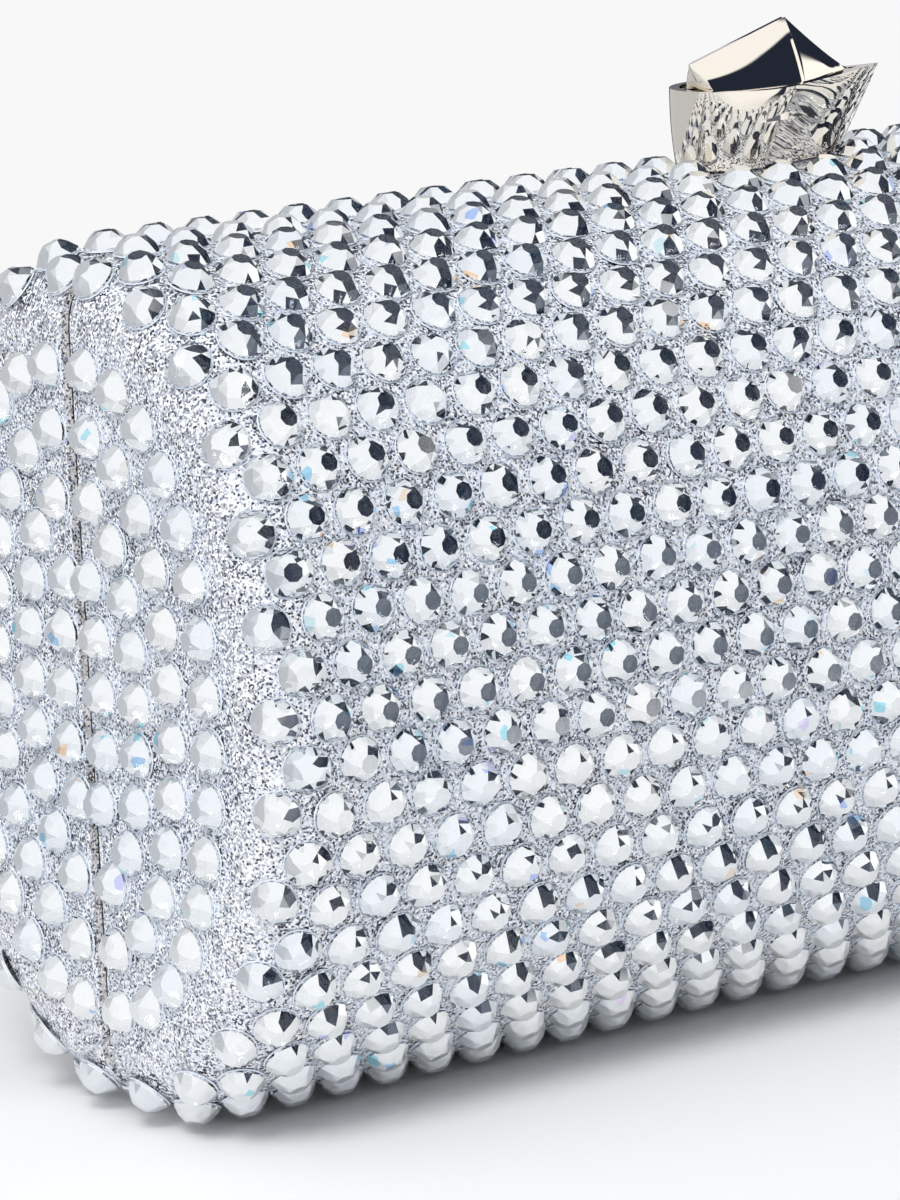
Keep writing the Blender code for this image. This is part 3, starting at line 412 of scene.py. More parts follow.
# Soft grey suede with a short nap that is brushed in patches
SUEDE = Surface(
    "suede_cloth",
    ((0.30, 0.30, 0.34), (0.44, 0.44, 0.49)),
    Grain(60.0, 3.0),
    (0.95, 0.95),
    relief=Grain(2600.0, 2.0, 0.7, strength=0.5, height=0.1 * MM),
    sheen=0.4,
)
# Grey moulded plastic with a fine spark-eroded grain
PLASTIC = Surface(
    "moulded_plastic",
    ((0.56, 0.56, 0.58), (0.64, 0.64, 0.66)),
    Grain(40.0),
    (0.45, 0.45),
    relief=Grain(1800.0, 3.0, strength=0.25, height=0.05 * MM),
)
# Warm nickel plate, polished, with faint rubbing marks
NICKEL = Surface(
    "polished_nickel",
    ((0.86, 0.80, 0.71), (0.903, 0.84, 0.7455)),
    Grain(30.0),
    (0.015, 0.05),
    rubbing=Grain(240.0, 4.0, 0.65),
    relief=Grain(120.0, strength=0.02, height=0.05 * MM),
    metallic=1.0,
)
# Steel brushed along the bag's length
STEEL = Surface(
    "brushed_steel",
    ((0.58, 0.58, 0.60), (0.72, 0.72, 0.74)),
    Grain(1.0, 3.0),
    (0.2, 0.42),
    rubbing=Grain(1.0, 3.0),
    relief=Grain(1.0, 3.0, strength=0.15, height=0.02 * MM),
    stretch=(60.0, 4000.0, 4000.0),
    metallic=1.0,
)


@dataclass(frozen=True)
class PaperFloor(Finish):
    """White studio paper that fades into the background away from the bag."""

    name: str = "paper_floor"
    colour: Colour = (0.91, 0.91, 0.91)
    shade: Colour = (0.9009, 0.9009, 0.9009)
    fibres: Grain = Grain(700.0, 3.0)
    fade: tuple[float, float] = (105.0 * MM, 190.0 * MM)

    def build(self, graph: NodeGraph) -> Socket:
        """Adds the paper and its fade, and returns the shader."""
        reach = graph.add("ShaderNodeVectorMath", {0: graph.place()}, operation="LENGTH")
        cover = graph.remap(reach.outputs["Value"], self.fade, (1.0, 0.0), smooth=True)
        colour = graph.mix(graph.noise(self.fibres), self.colour, self.shade)
        paper = graph.add("ShaderNodeBsdfDiffuse", {"Color": colour}).outputs["BSDF"]
        clear = graph.add("ShaderNodeBsdfTransparent").outputs["BSDF"]
        return graph.add("ShaderNodeMixShader", {0: cover, 1: clear, 2: paper}).outputs["Shader"]


# Mesh building


def placed(name: str, data: bpy.types.ID) -> Piece:
    """Returns a new object in the scene, made of a mesh, a light or a camera."""
    made = bpy.data.objects.new(name, data)
    bpy.context.scene.collection.objects.link(made)
    return made


@dataclass
class MeshParts:
    """Points and faces that are gathered before they become an object."""

    points: list[Point] = field(default_factory=list)
    faces: list[list[int]] = field(default_factory=list)

    def join(self, other: MeshParts) -> None:
        """Adds another solid's points and faces to this one."""
        start = len(self.points)
        self.points.extend(other.points)
        self.faces.extend([start + index for index in face] for face in other.faces)

    def piece(self, name: str, finish: Finish, sharp_angle: float = 40.0) -> Piece:
        """Makes an object of the gathered mesh.

        Args:
            name: The object's name.
            finish: The finish of all its faces.
            sharp_angle: The least angle of an edge that stays sharp, in degrees.

        Returns:
            The object, in the scene.
        """
        mesh = bpy.data.meshes.new(name)
        mesh.from_pydata(self.points, [], self.faces)
        tidy = bmesh.new()
        tidy.from_mesh(mesh)
        bmesh.ops.remove_doubles(tidy, verts=tidy.verts, dist=MERGE_DISTANCE)
        bmesh.ops.recalc_face_normals(tidy, faces=tidy.faces)
        tidy.to_mesh(mesh)
        tidy.free()
        mesh.materials.append(finish.material())
        mesh.shade_smooth()
        mesh.set_sharp_from_angle(angle=math.radians(sharp_angle))
        return placed(name, mesh)


def lofted(rings: list[list[Point]]) -> MeshParts:
    """Returns the closed solid through rings of equal size.

    Args:
        rings: The rings in order, each a closed loop with the same number of points.

    Returns:
        The walls between the rings, with a face over the first and the last ring.
    """
    count = len(rings[0])
    parts = MeshParts([point for ring in rings for point in ring])
    for level in range(len(rings) - 1):
        low = level * count
        for index in range(count):
            after = (index + 1) % count
            parts.faces.append([low + index, low + after, low + count + after, low + count + index])
    last = (len(rings) - 1) * count
    parts.faces.append(list(range(count))[::-1])
    parts.faces.append(list(range(last, last + count)))
    return parts


def grid_faces(columns: int, rows: int) -> list[list[int]]:
    """Returns the faces of a net of points that are listed column by column."""
    starts = [column * rows + row for column in range(columns - 1) for row in range(rows - 1)]
    return [[start, start + 1, start + rows + 1, start + rows] for start in starts]


def circle(radius: float, count: int, turn: float = 0.0) -> list[tuple[float, float]]:
    """Returns points round a circle about the origin, turned by a share of their step."""
    angles = [math.tau * (index + turn) / count for index in range(count)]
    return [(radius * math.cos(angle), radius * math.sin(angle)) for angle in angles]


def upright_bar(radius: float, place: tuple[float, float], low: float, high: float) -> MeshParts:
    """Returns a round bar along Z between two heights."""
    ring = [(place[0] + x, place[1] + y) for x, y in circle(radius, UPRIGHT_BAR_SIDES)]
    return lofted([[(x, y, z) for x, y in ring] for z in (low, high)])


def level_bar(radius: float, reach: float, height: float) -> MeshParts:
    """Returns a round bar along X in the mouth plane, from -reach to reach."""
    ring = [(y, height + z) for y, z in circle(radius, LEVEL_BAR_SIDES)]
    return lofted([[(x, y, z) for y, z in ring] for x in (-reach, reach)])


def bake_modifiers(piece: Piece) -> None:
    """Turns the piece's modifiers into its mesh."""
    graph = bpy.context.evaluated_depsgraph_get()
    baked = bpy.data.meshes.new_from_object(piece.evaluated_get(graph), depsgraph=graph)
    old = piece.data
    piece.modifiers.clear()
    piece.data = baked
    bpy.data.meshes.remove(old)
    baked.name = piece.name


def carve(piece: Piece, cutter: MeshParts, finish: Finish) -> None:
    """Cuts one or more closed solids out of a piece for good.

    Args:
        piece: The piece to cut.
        cutter: The solids to take away, which don't touch each other.
        finish: The finish of the cut faces.
    """
    helper = cutter.piece("cutter", finish)
    modifier = piece.modifiers.new("cut", "BOOLEAN")
    modifier.operation = "DIFFERENCE"
    modifier.solver = "EXACT"
    modifier.object = helper
    bake_modifiers(piece)
    bpy.data.objects.remove(helper, do_unlink=True)


def round_edges(piece: Piece, width: float, angle: float = 35.0, segments: int = 2) -> None:
    """Rounds the piece's sharp edges for good.

    Args:
        piece: The piece to round.
        width: The width of the rounding, in metres.
        angle: The least angle of an edge that is rounded, in degrees.
        segments: The number of faces across the rounding.
    """
    modifier = piece.modifiers.new("round", "BEVEL")
    modifier.width = width
    modifier.segments = segments
    modifier.limit_method = "ANGLE"
    modifier.angle_limit = math.radians(angle)
    modifier.harden_normals = True
    bake_modifiers(piece)


def dress(piece: Piece, body: str, slot: Slot, *nodes: str) -> Piece:
    """Sets what a finished piece rides on and the nodes that it stands for.

    Args:
        piece: The finished piece.
        body: The name of the body.
        slot: The material slot that its finish belongs to. Not used.
        *nodes: The CAD nodes that it replaces.

    Returns:
        The piece.
    """
    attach(piece, body)
    if nodes:
        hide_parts(*nodes)
    LOG.info("%s: %d faces, rides on %s", piece.name, len(piece.data.polygons), body)
    return piece


# The body's form


class Section:
    """Half outline across the bag at one inset, from the top seam to the foot seam."""

    def __init__(self, form: BodyForm, inset: float, rim: float) -> None:
        """Works out the outline's points, lengths and normals.

        Args:
            form: The body's sizes.
            inset: How far inside the fabric the outline lies.
            rim: How far from the mouth plane it starts and ends.
        """
        half_depth = form.half_depth - inset
        half_height = form.half_height - inset
        start = math.acos((rim / half_depth) ** (form.power / 2))
        angles = np.linspace(start, -start, form.samples)
        power = 2 / form.power
        self.y = -half_depth * np.abs(np.cos(angles)) ** power
        rise = half_height * np.sign(np.sin(angles)) * np.abs(np.sin(angles)) ** power
        self.z = form.centre_z + np.maximum(rise, form.foot_flat_rise - half_height)
        self.along = np.concatenate([[0.0], np.cumsum(np.hypot(np.diff(self.y), np.diff(self.z)))])
        self.length = float(self.along[-1])
        tangent_y = np.gradient(self.y)
        tangent_z = np.gradient(self.z)
        size = np.hypot(tangent_y, tangent_z)
        self.normal_y = tangent_z / size
        self.normal_z = -tangent_y / size

    def at(self, share: float) -> tuple[tuple[float, float], tuple[float, float]]:
        """Returns the point and the outward normal, as (y, z) pairs, at a share of the way down."""
        rows = (self.y, self.z, self.normal_y, self.normal_z)
        y, z, normal_y, normal_z = (float(np.interp(share * self.length, self.along, row)) for row in rows)
        size = math.hypot(normal_y, normal_z)
        return (y, z), (normal_y / size, normal_z / size)


@dataclass(frozen=True)
class BodyForm:
    """The sizes of the bag's body over its fabric, as in the CAD model."""

    half_length: float = 186.0 * MM / 2
    half_depth: float = 67.5 * MM / 2
    half_height: float = 89.0 * MM / 2
    power: float = 2.25
    corner_radius: float = 7.0 * MM
    foot_flat_rise: float = 0.5 * MM
    stone_height: float = 2.0 * MM
    least_inner_radius: float = 1.0 * MM
    cover_rim: float = 0.4 * MM
    samples: int = 600
    end_wall_steps: int = 8

    @property
    def centre_z(self) -> float:
        """Returns the height of the body's middle over the floor."""
        return self.half_height - self.foot_flat_rise + self.stone_height

    @property
    def top_z(self) -> float:
        """Returns the height of the fabric's top."""
        return self.centre_z + self.half_height

    @property
    def foot_z(self) -> float:
        """Returns the height of the fabric's foot, where the hinge lies."""
        return self.stone_height

    @lru_cache(maxsize=None)
    def section(self, inset: float, rim: float) -> Section:
        """Returns the section at an inset, made once."""
        return Section(self, inset, rim)

    def surface(self, along: float, share: float, height: float = 0.0) -> tuple[Vector, Vector]:
        """Returns a place on the fabric, round the end corner, and its outward normal.

        Args:
            along: The distance along X over the fabric from the middle.
            share: The share of the section's length from the top seam.
            height: How far outside the fabric the point lies.

        Returns:
            The point and the unit normal.
        """
        flat = self.half_length - self.corner_radius
        turn = max(0.0, abs(along) - flat) / self.corner_radius
        extra = self.corner_radius * (1 - math.cos(turn))
        (y, z), (normal_y, normal_z) = self.section(extra, self.cover_rim).at(share)
        x = min(abs(along), flat) + self.corner_radius * math.sin(turn)
        sign = math.copysign(1.0, along)
        normal = Vector((sign * math.sin(turn), math.cos(turn) * normal_y, math.cos(turn) * normal_z))
        return Vector((sign * x, y, z)) + height * normal, normal

    def stations(self, inset: float, corner_steps: int, flat_steps: int) -> list[tuple[float, float]]:
        """Returns (x, extra inset) pairs from one end wall to the other, round both end corners."""
        radius = max(self.corner_radius - inset, self.least_inner_radius)
        flat = self.half_length - inset - radius
        half = []
        for step in range(corner_steps + 1):
            angle = math.pi / 2 * step / corner_steps
            half.append((flat + radius * math.sin(angle), radius * (1 - math.cos(angle))))
        middle = [(-flat + 2 * flat * step / flat_steps, 0.0) for step in range(1, flat_steps)]
        return [(-x, extra) for x, extra in reversed(half)] + middle + half

    def skin(self, half: Half, inset: float, rim: float, grid: tuple[int, int, int]) -> MeshParts:
        """Returns an open skin over one half with its end walls.

        Args:
            half: The half that it covers.
            inset: How far inside the fabric it lies.
            rim: How far from the mouth plane it ends.
            grid: The steps round each corner, the steps along the length, and the rows.

        Returns:
            The skin's points and faces.
        """
        corner_steps, flat_steps, rows = grid
        parts = MeshParts()
        side = -half.value
        stations = self.stations(inset, corner_steps, flat_steps)
        for x, extra in stations:
            curve = self.section(inset + extra, rim)
            for row in range(rows):
                (y, z), _ = curve.at(row / (rows - 1))
                parts.points.append((x, side * y, z))
        parts.faces = grid_faces(len(stations), rows)
        for station in (0, len(stations) - 1):
            edge = parts.points[station * rows:(station + 1) * rows]
            parts.join(self.end_wall(edge, side * -rim))
        return parts

    def end_wall(self, edge: list[Point], rim_y: float) -> MeshParts:
        """Returns the flat wall between an end's outline and the mouth's plane."""
        wall = MeshParts()
        steps = self.end_wall_steps
        for x, y, z in edge:
            for step in range(steps + 1):
                share = step / steps
                wall.points.append((x, y + (rim_y - y) * share, z))
        wall.faces = grid_faces(len(edge), steps + 1)
        return wall


# The clasp


@dataclass(frozen=True)
class ClaspForm:
    """The sizes of the drop-shaped clasp cup and its ridged button block, as in the CAD model."""

    length: float = 27.4 * MM
    shift: float = 0.7 * MM
    radius: float = 7.4 * MM
    height: float = 8.8 * MM
    base_radius: float = 5.2 * MM
    side_bulge: float = 1.6 * MM
    bulge_loss_share: float = 0.8
    bulge_loss_power: int = 3
    base_set_back: float = 1.3 * MM
    flare_power: float = 10.0
    flare_at_rim_share: float = 0.3
    bow_sheer: float = 0.5 * MM
    bow_rake: float = 5.0 * MM
    stern_tuck: float = 1.0 * MM
    rim_wall: float = 1.1 * MM
    base_z: float = 90.8 * MM
    well_depth: float = 3.6 * MM
    plug_under_depth: float = 2.1 * MM
    plug_thickness: float = 1.5 * MM
    stem_seat_depth: float = 0.9 * MM
    button_gap: float = 0.35 * MM
    waist_step: float = 0.3 * MM
    waist_at_stern: float = 2.3 * MM
    peak_height: float = 6.8 * MM
    stern_ridge_height: float = 2.8 * MM
    bow_ridge_height: float = 0.3 * MM
    ridge_half_width: float = 0.3 * MM
    ridge_stern_inset: float = -0.9 * MM
    ridge_bow_inset: float = -0.4 * MM
    bow_ridge_power: float = 1.15
    peak_step: int = 16
    stem_place: tuple[float, float] = (-5.1 * MM, 3.9 * MM)
    stem_hole_radius: float = 1.1 * MM
    spring_bore_radius: float = 1.95 * MM
    spring_floor_z: float = 92.2 * MM
    screw_spacing: float = 7.6 * MM
    screw_y: float = 3.6 * MM
    screw_hole_radius: float = 0.9 * MM
    screw_hole_top: float = 94.1 * MM
    side_steps: int = 25
    arc_steps: int = 72
    wall_levels: int = 20

    @property
    def rim_z(self) -> float:
        """Returns the height of the cup's rim."""
        return self.base_z + self.height

    @property
    def bow_x(self) -> float:
        """Returns the place of the rim's point."""
        return self.length / 2 + self.shift

    def drop(self, radius: float, length: float, bow_x: float, z: float, bulge: float = 0.0) -> list[Point]:
        """Returns a drop-shaped ring.

        Args:
            radius: The radius of the round stern.
            length: The length from bow to stern.
            bow_x: The place of the bow, where the two sides meet.
            z: The ring's height.
            bulge: How far the middle of each side stands out from a straight line.

        Returns:
            The ring's points, counter-clockwise from the bow.
        """
        centre = bow_x - length + radius
        tangent = math.acos(radius / (length - radius))
        end = (centre + radius * math.cos(tangent), radius * math.sin(tangent))
        side = []
        for step in range(1, self.side_steps + 1):
            share = step / self.side_steps
            out = bulge * HUMP * share * (1 - share) ** 2
            side.append((bow_x + share * (end[0] - bow_x) + out * math.cos(tangent), share * end[1] + out, z))
        arc = []
        for step in range(1, self.arc_steps):
            angle = tangent + (math.tau - 2 * tangent) * step / self.arc_steps
            arc.append((centre + radius * math.cos(angle), radius * math.sin(angle), z))
        mirrored = [(x, -y, height) for x, y, height in reversed(side)]
        return [(bow_x, 0.0, z)] + side + arc + mirrored

    def wall_ring(self, level: float) -> list[Point]:
        """Returns the cup's outer ring at a share of its height."""
        power = self.flare_power
        flare = (power * level - level ** power) / (power - 1)
        flare += self.flare_at_rim_share * (level - flare)
        radius = self.base_radius + (self.radius - self.base_radius) * flare
        bow = self.bow_x - self.bow_rake * (1 - level)
        stern = self.bow_x - self.length + self.stern_tuck * (1 - level) ** 2
        bulge = self.side_bulge * (1 - self.bulge_loss_share * level ** self.bulge_loss_power)
        ring = self.drop(radius, bow - stern, bow, self.base_z + level * self.height, bulge)
        back = self.base_set_back * (1 - flare)
        return [(x, y + back, z + level * self.sheer(x)) for x, y, z in ring]

    def sheer(self, x: float) -> float:
        """Returns how far the rim sweeps up at a place along it, most at the bow."""
        reach = self.bow_x + self.radius
        return self.bow_sheer * max(0.0, (x + self.radius) / reach) ** 2

    def inset_ring(self, inset: float, z: float) -> list[Point]:
        """Returns the rim's ring drawn in by an inset, at a height."""
        radius = self.radius - inset
        sine = self.radius / (self.length - self.radius)
        return self.drop(radius, radius + radius / sine, self.bow_x - inset / sine, z)

    def distance(self, x: float, y: float) -> float:
        """Returns how far a place lies outside the cup's base, less than zero inside it."""
        ring = self.wall_ring(0.0)
        inside = True
        nearest = math.inf
        for index, corner in enumerate(ring):
            start = Vector(corner[:2])
            along = Vector(ring[(index + 1) % len(ring)][:2]) - start
            offset = Vector((x, y)) - start
            inside = inside and along.x * offset.y - along.y * offset.x >= 0
            share = min(1.0, max(0.0, offset.dot(along) / along.length_squared))
            nearest = min(nearest, (offset - share * along).length)
        return -nearest if inside else nearest

    def fixing_holes(self, low: float, stem_top: float, screw_top: float) -> MeshParts:
        """Returns the stem's and the two cup screws' holes as solids between heights."""
        holes = upright_bar(self.stem_hole_radius, self.stem_place, low, stem_top)
        for side in (-1, 1):
            place = (self.stem_place[0] + side * self.screw_spacing / 2, self.screw_y)
            holes.join(upright_bar(self.screw_hole_radius, place, low, screw_top))
        return holes


@dataclass
class Clasp:
    """The polished cup on the rear half, and the button block that stands in it."""

    form: ClaspForm = ClaspForm()
    plate: Finish = NICKEL
    cup_sharp_angle: float = 30.0
    rim_rounding: float = 0.12 * MM
    block_sharp_angle: float = 25.0
    block_rounded_angle: float = 28.0
    block_rounding_steps: int = 3
    ridge_rounding: float = 0.3 * MM
    face_bulge: float = 0.22 * MM
    bulge_fade: float = 1.0 * MM
    plan_bulge: float = 0.3 * MM
    face_steps: int = 10
    cut_margin: float = 1.0 * MM

    def build(self) -> list[Piece]:
        """Builds the cup and the block, and returns them."""
        return [self.cup(), self.block()]

    def cup(self) -> Piece:
        """Builds the cup with its well, and returns it."""
        form = self.form
        levels = form.wall_levels
        rings = [form.wall_ring(level / levels) for level in range(levels + 1)]
        rings.append([(x, y, z + form.sheer(x)) for x, y, z in form.inset_ring(form.rim_wall, form.rim_z)])
        rings.append(form.inset_ring(form.rim_wall, form.rim_z - form.well_depth))
        cup = lofted(rings).piece("clasp_cup_polished", self.plate, self.cup_sharp_angle)
        low = form.base_z - self.cut_margin
        top = form.rim_z - self.cut_margin
        carve(cup, form.fixing_holes(low, top, form.screw_hole_top), self.plate)
        bore = upright_bar(form.spring_bore_radius, form.stem_place, form.spring_floor_z, top)
        carve(cup, bore, self.plate)
        round_edges(cup, self.rim_rounding)
        return dress(cup, "rear_half", Slot.NICKEL, "clasp_cup")

    def ridge_rise(self, x: float, bow_x: float, peak_x: float, stern_x: float) -> float:
        """Returns the ridge's height over the rim, straight up to the peak and hollow after it."""
        form = self.form
        if x <= peak_x:
            share = (x - stern_x) / (peak_x - stern_x)
            return form.stern_ridge_height + (form.peak_height - form.stern_ridge_height) * share
        share = (x - peak_x) / (bow_x - peak_x)
        hollow = max(0.0, 1 - share) ** form.bow_ridge_power
        return form.bow_ridge_height + (form.peak_height - form.bow_ridge_height) * hollow

    def bulged(self, low: list[Point], high: list[Point], share: float) -> list[Point]:
        """Returns the ring between two others at a share of the way, bulged a little outwards."""
        swell = self.face_bulge * HUMP * share * (1 - share)
        ring = []
        for first, second in zip(low, high):
            x, y, z = (a + (b - a) * share for a, b in zip(first, second))
            side = math.copysign(min(1.0, abs(y) / self.bulge_fade), y)
            ring.append((x, y + side * swell, z + abs(side) * swell / 2))
        return ring

    def block(self) -> Piece:
        """Builds the button block: a plug in the well, and a ridge between two milled flats."""
        form = self.form
        inset = form.rim_wall + form.button_gap
        under_z = form.rim_z - form.plug_under_depth
        over_z = under_z + form.plug_thickness
        foot = form.inset_ring(inset + form.waist_step, over_z + form.waist_step)
        bow_x = foot[0][0]
        stern_x = min(point[0] for point in foot)
        peak_x, near_peak, _ = foot[form.peak_step]
        ridge_bow = bow_x - form.ridge_bow_inset
        ridge_stern = stern_x + form.ridge_stern_inset
        shrink = (ridge_bow - ridge_stern) / (bow_x - stern_x)
        ridge_peak = ridge_bow + shrink * (peak_x - bow_x)
        waist = []
        ridge = []
        for x, y, z in foot:
            share = min(1.0, max(0.0, (peak_x - x) / (peak_x - stern_x)))
            limit = near_peak + (form.waist_at_stern - near_peak) * share
            limit += self.plan_bulge * HUMP * share * (1 - share)
            across = max(-1.0, min(1.0, y / limit))
            waist.append((x, limit * across, z))
            ridge_x = ridge_bow + shrink * (x - bow_x)
            rise = self.ridge_rise(ridge_x, ridge_bow, ridge_peak, ridge_stern)
            ridge.append((ridge_x, form.ridge_half_width * across, form.rim_z + rise))
        rings = [form.inset_ring(inset, under_z), form.inset_ring(inset, over_z), waist]
        rings += [self.bulged(waist, ridge, step / self.face_steps) for step in range(1, self.face_steps)]
        rings.append(ridge)
        block = lofted(rings).piece("clasp_block_polished", self.plate, self.block_sharp_angle)
        low = under_z - self.cut_margin
        top = under_z + form.stem_seat_depth
        carve(block, upright_bar(form.stem_hole_radius, form.stem_place, low, top), self.plate)
        round_edges(block, self.ridge_rounding, self.block_rounded_angle, self.block_rounding_steps)
        return dress(block, "button", Slot.NICKEL, "button_block")


# Stones


@dataclass(frozen=True)
class StoneSeat:
    """Where one stone sits: its middle on the fabric, and the fabric's normal."""

    point: Vector
    normal: Vector


@dataclass(frozen=True)
class StoneSetting:
    """The honeycomb layout of the stones, as in the CAD model."""

    diameter: float = 4.7 * MM
    pitch: float = 5.85 * MM
    top_margin: float = 2.8 * MM
    foot_margin: float = 5.0 * MM
    end_first_row: float = 10.8 * MM
    end_row_spacing: float = 6.5 * MM
    end_stone_spacing: float = 5.7 * MM
    end_row_margin: float = 3.2 * MM
    cup_gap: float = 0.3 * MM
    corner_turn: float = math.pi / 4

    def row_shares(self, form: BodyForm) -> list[float]:
        """Returns the places of the rows as shares of the section, top to foot."""
        length = form.section(0.0, form.cover_rim).length
        first = self.top_margin - form.cover_rim
        last = length - self.foot_margin + form.cover_rim
        gaps = 2 * round((last - first) / (self.pitch * math.sqrt(3) / 2) / 2)
        return [(first + (last - first) * row / gaps) / length for row in range(gaps + 1)]

    def seats(self, form: BodyForm, clasp: ClaspForm, half: Half) -> list[StoneSeat]:
        """Returns the seats of one half's stones.

        Args:
            form: The body's sizes.
            clasp: The clasp's sizes, for the place that it keeps bare.
            half: The half that the stones are on.

        Returns:
            The seats on the front and round the corners, and then on the two end walls.
        """
        limit = form.half_length - form.corner_radius + form.corner_radius * self.corner_turn
        gaps = round(2 * limit / self.pitch)
        pitch = 2 * limit / gaps
        clear = self.diameter / 2 + self.cup_gap
        seats = []
        for row, share in enumerate(self.row_shares(form)):
            offset = row % 2
            for column in range(gaps + 1 - offset):
                along = -limit + pitch * (column + offset / 2)
                point, normal = form.surface(along, share)
                bare = point.z > form.centre_z and clasp.distance(point.x, point.y) < clear
                if not bare:
                    seats.append(StoneSeat(point, normal))
        seats.extend(self.end_seats(form))
        if half is Half.REAR:
            flip = Matrix.Scale(-1.0, 3, (0.0, 1.0, 0.0))
            seats = [StoneSeat(flip @ seat.point, flip @ seat.normal) for seat in seats]
        return seats

    def end_seats(self, form: BodyForm) -> list[StoneSeat]:
        """Returns the seats on the front half's two end walls, in curved rows."""
        seats = []
        rows = int((form.half_depth - self.end_row_margin - self.end_first_row) / self.end_row_spacing) + 1
        for row in range(rows):
            curve = form.section(self.end_first_row + row * self.end_row_spacing, form.cover_rim)
            span = curve.length - 2 * self.end_row_margin
            gaps = round(span / self.end_stone_spacing)
            for index in range(gaps + 1):
                distance = self.end_row_margin + span * index / gaps
                (y, z), _ = curve.at(distance / curve.length)
                for sign in (-1.0, 1.0):
                    point = Vector((sign * form.half_length, y, z))
                    seats.append(StoneSeat(point, Vector((sign, 0.0, 0.0))))
        return seats


@dataclass(frozen=True)
class StoneCut:
    """The cut of one flat-backed stone and the resin ring round it."""

    girdle_radius: float = 2.43 * MM
    foil_z: float = 0.06 * MM
    girdle_z: float = 0.40 * MM
    mid_radius: float = 1.80 * MM
    mid_z: float = 1.32 * MM
    table_radius: float = 1.0 * MM
    table_z: float = 1.98 * MM
    resin_outer: float = 2.55 * MM
    resin_inner: float = 2.45 * MM
    resin_top: float = 0.14 * MM
    sides: int = 8

    def ring(self, radius: float, z: float, count: int, turn: float = 0.0) -> list[Point]:
        """Returns a ring of points about the stone's axis, turned by a share of its step."""
        return [(x, y, z) for x, y in circle(radius, count, turn)]

    def template(self) -> tuple[np.ndarray, list[list[int]], list[StonePart]]:
        """Returns one stone's points and faces, and the part that each face belongs to."""
        sides = self.sides
        double = 2 * sides
        points = self.ring(self.girdle_radius, self.foil_z, double, 0.5)
        points += self.ring(self.girdle_radius, self.girdle_z, double, 0.5)
        points += self.ring(self.mid_radius, self.mid_z, sides, 0.5)
        points += self.ring(self.table_radius, self.table_z, sides)
        points += self.ring(self.resin_outer, 0.0, double)
        points += self.ring(self.resin_inner, self.resin_top, double)
        points += self.ring(self.resin_inner, 0.0, double)
        girdle, mid, table = double, 2 * double, 2 * double + sides
        resin = 2 * double + 2 * sides
        faces = [list(range(double))[::-1]]
        finishes = [StonePart.FOIL]
        for index in range(double):
            after = (index + 1) % double
            faces.append([index, after, girdle + after, girdle + index])
            finishes.append(StonePart.GLASS)
            for low in (resin, resin + double):
                faces.append([low + index, low + after, low + double + after, low + double + index])
                finishes.append(StonePart.RESIN)
        for index in range(sides):
            after = (index + 1) % sides
            first = girdle + 2 * index
            second = girdle + (2 * index + 1) % double
            third = girdle + (2 * index + 2) % double
            faces.append([first, second, mid + index])
            faces.append([second, third, mid + after, mid + index])
            faces.append([mid + index, mid + after, table + after])
            faces.append([mid + index, table + after, table + index])
        faces.append([table + index for index in range(sides)])
        finishes += [StonePart.GLASS] * (len(faces) - len(finishes))
        return np.array(points), faces, finishes


@dataclass
class StoneField:
    """All the stones of one half, each with its own twist, tilt and small slip."""

    half: Half
    body: BodyForm
    clasp: ClaspForm
    setting: StoneSetting = StoneSetting()
    cut: StoneCut = StoneCut()
    glass: Finish = CutGlass()
    foil: Finish = MirrorFoil()
    resin: Finish = RESIN
    tilt: float = math.radians(2.0)
    slip: float = 0.12 * MM
    sink: float = 0.02 * MM
    least_side: float = 0.1
    seed: int = 11

    def frames(self) -> tuple[np.ndarray, np.ndarray]:
        """Returns the stones' middles, and their axes as rows of three by three arrays."""
        chance = np.random.default_rng(self.seed + self.half.value)
        centres = []
        axes = []
        for seat in self.setting.seats(self.body, self.clasp, self.half):
            side = seat.normal.cross(Vector((0.0, 0.0, 1.0)))
            if side.length < self.least_side:
                side = Vector((1.0, 0.0, 0.0))
            side.normalize()
            up = seat.normal.cross(side)
            lean = chance.normal(0.0, self.tilt / 2, 2).tolist()
            normal = (seat.normal + lean[0] * side + lean[1] * up).normalized()
            twist = chance.uniform(0.0, math.tau)
            first = math.cos(twist) * side + math.sin(twist) * up
            first = (first - first.dot(normal) * normal).normalized()
            slip = chance.uniform(-self.slip, self.slip, 2).tolist()
            centres.append(seat.point + slip[0] * side + slip[1] * up - self.sink * seat.normal)
            axes.append((first, normal.cross(first), normal))
        return np.array(centres), np.array(axes)

    def build(self) -> Piece:
        """Builds the stones as one piece and returns it."""
        centres, axes = self.frames()
        template, faces, finishes = self.cut.template()
        points = centres[:, None, :] + np.einsum("kj,nji->nki", template, axes)
        count = len(template)
        starts = np.arange(len(centres)) * count
        all_faces = [[int(start) + index for index in face] for start in starts for face in faces]
        mesh = bpy.data.meshes.new(self.half.label + "_stones")
        mesh.from_pydata(points.reshape(-1, 3).tolist(), [], all_faces)
        for finish in (self.glass, self.foil, self.resin):
            mesh.materials.append(finish.material())
        mesh.polygons.foreach_set("material_index", finishes * len(centres))
        mesh.update()
        stones = placed(mesh.name, mesh)
        LOG.info("%s: %d stones", stones.name, len(centres))
        return dress(stones, self.half.body, Slot.STONES)


# Covers and linings


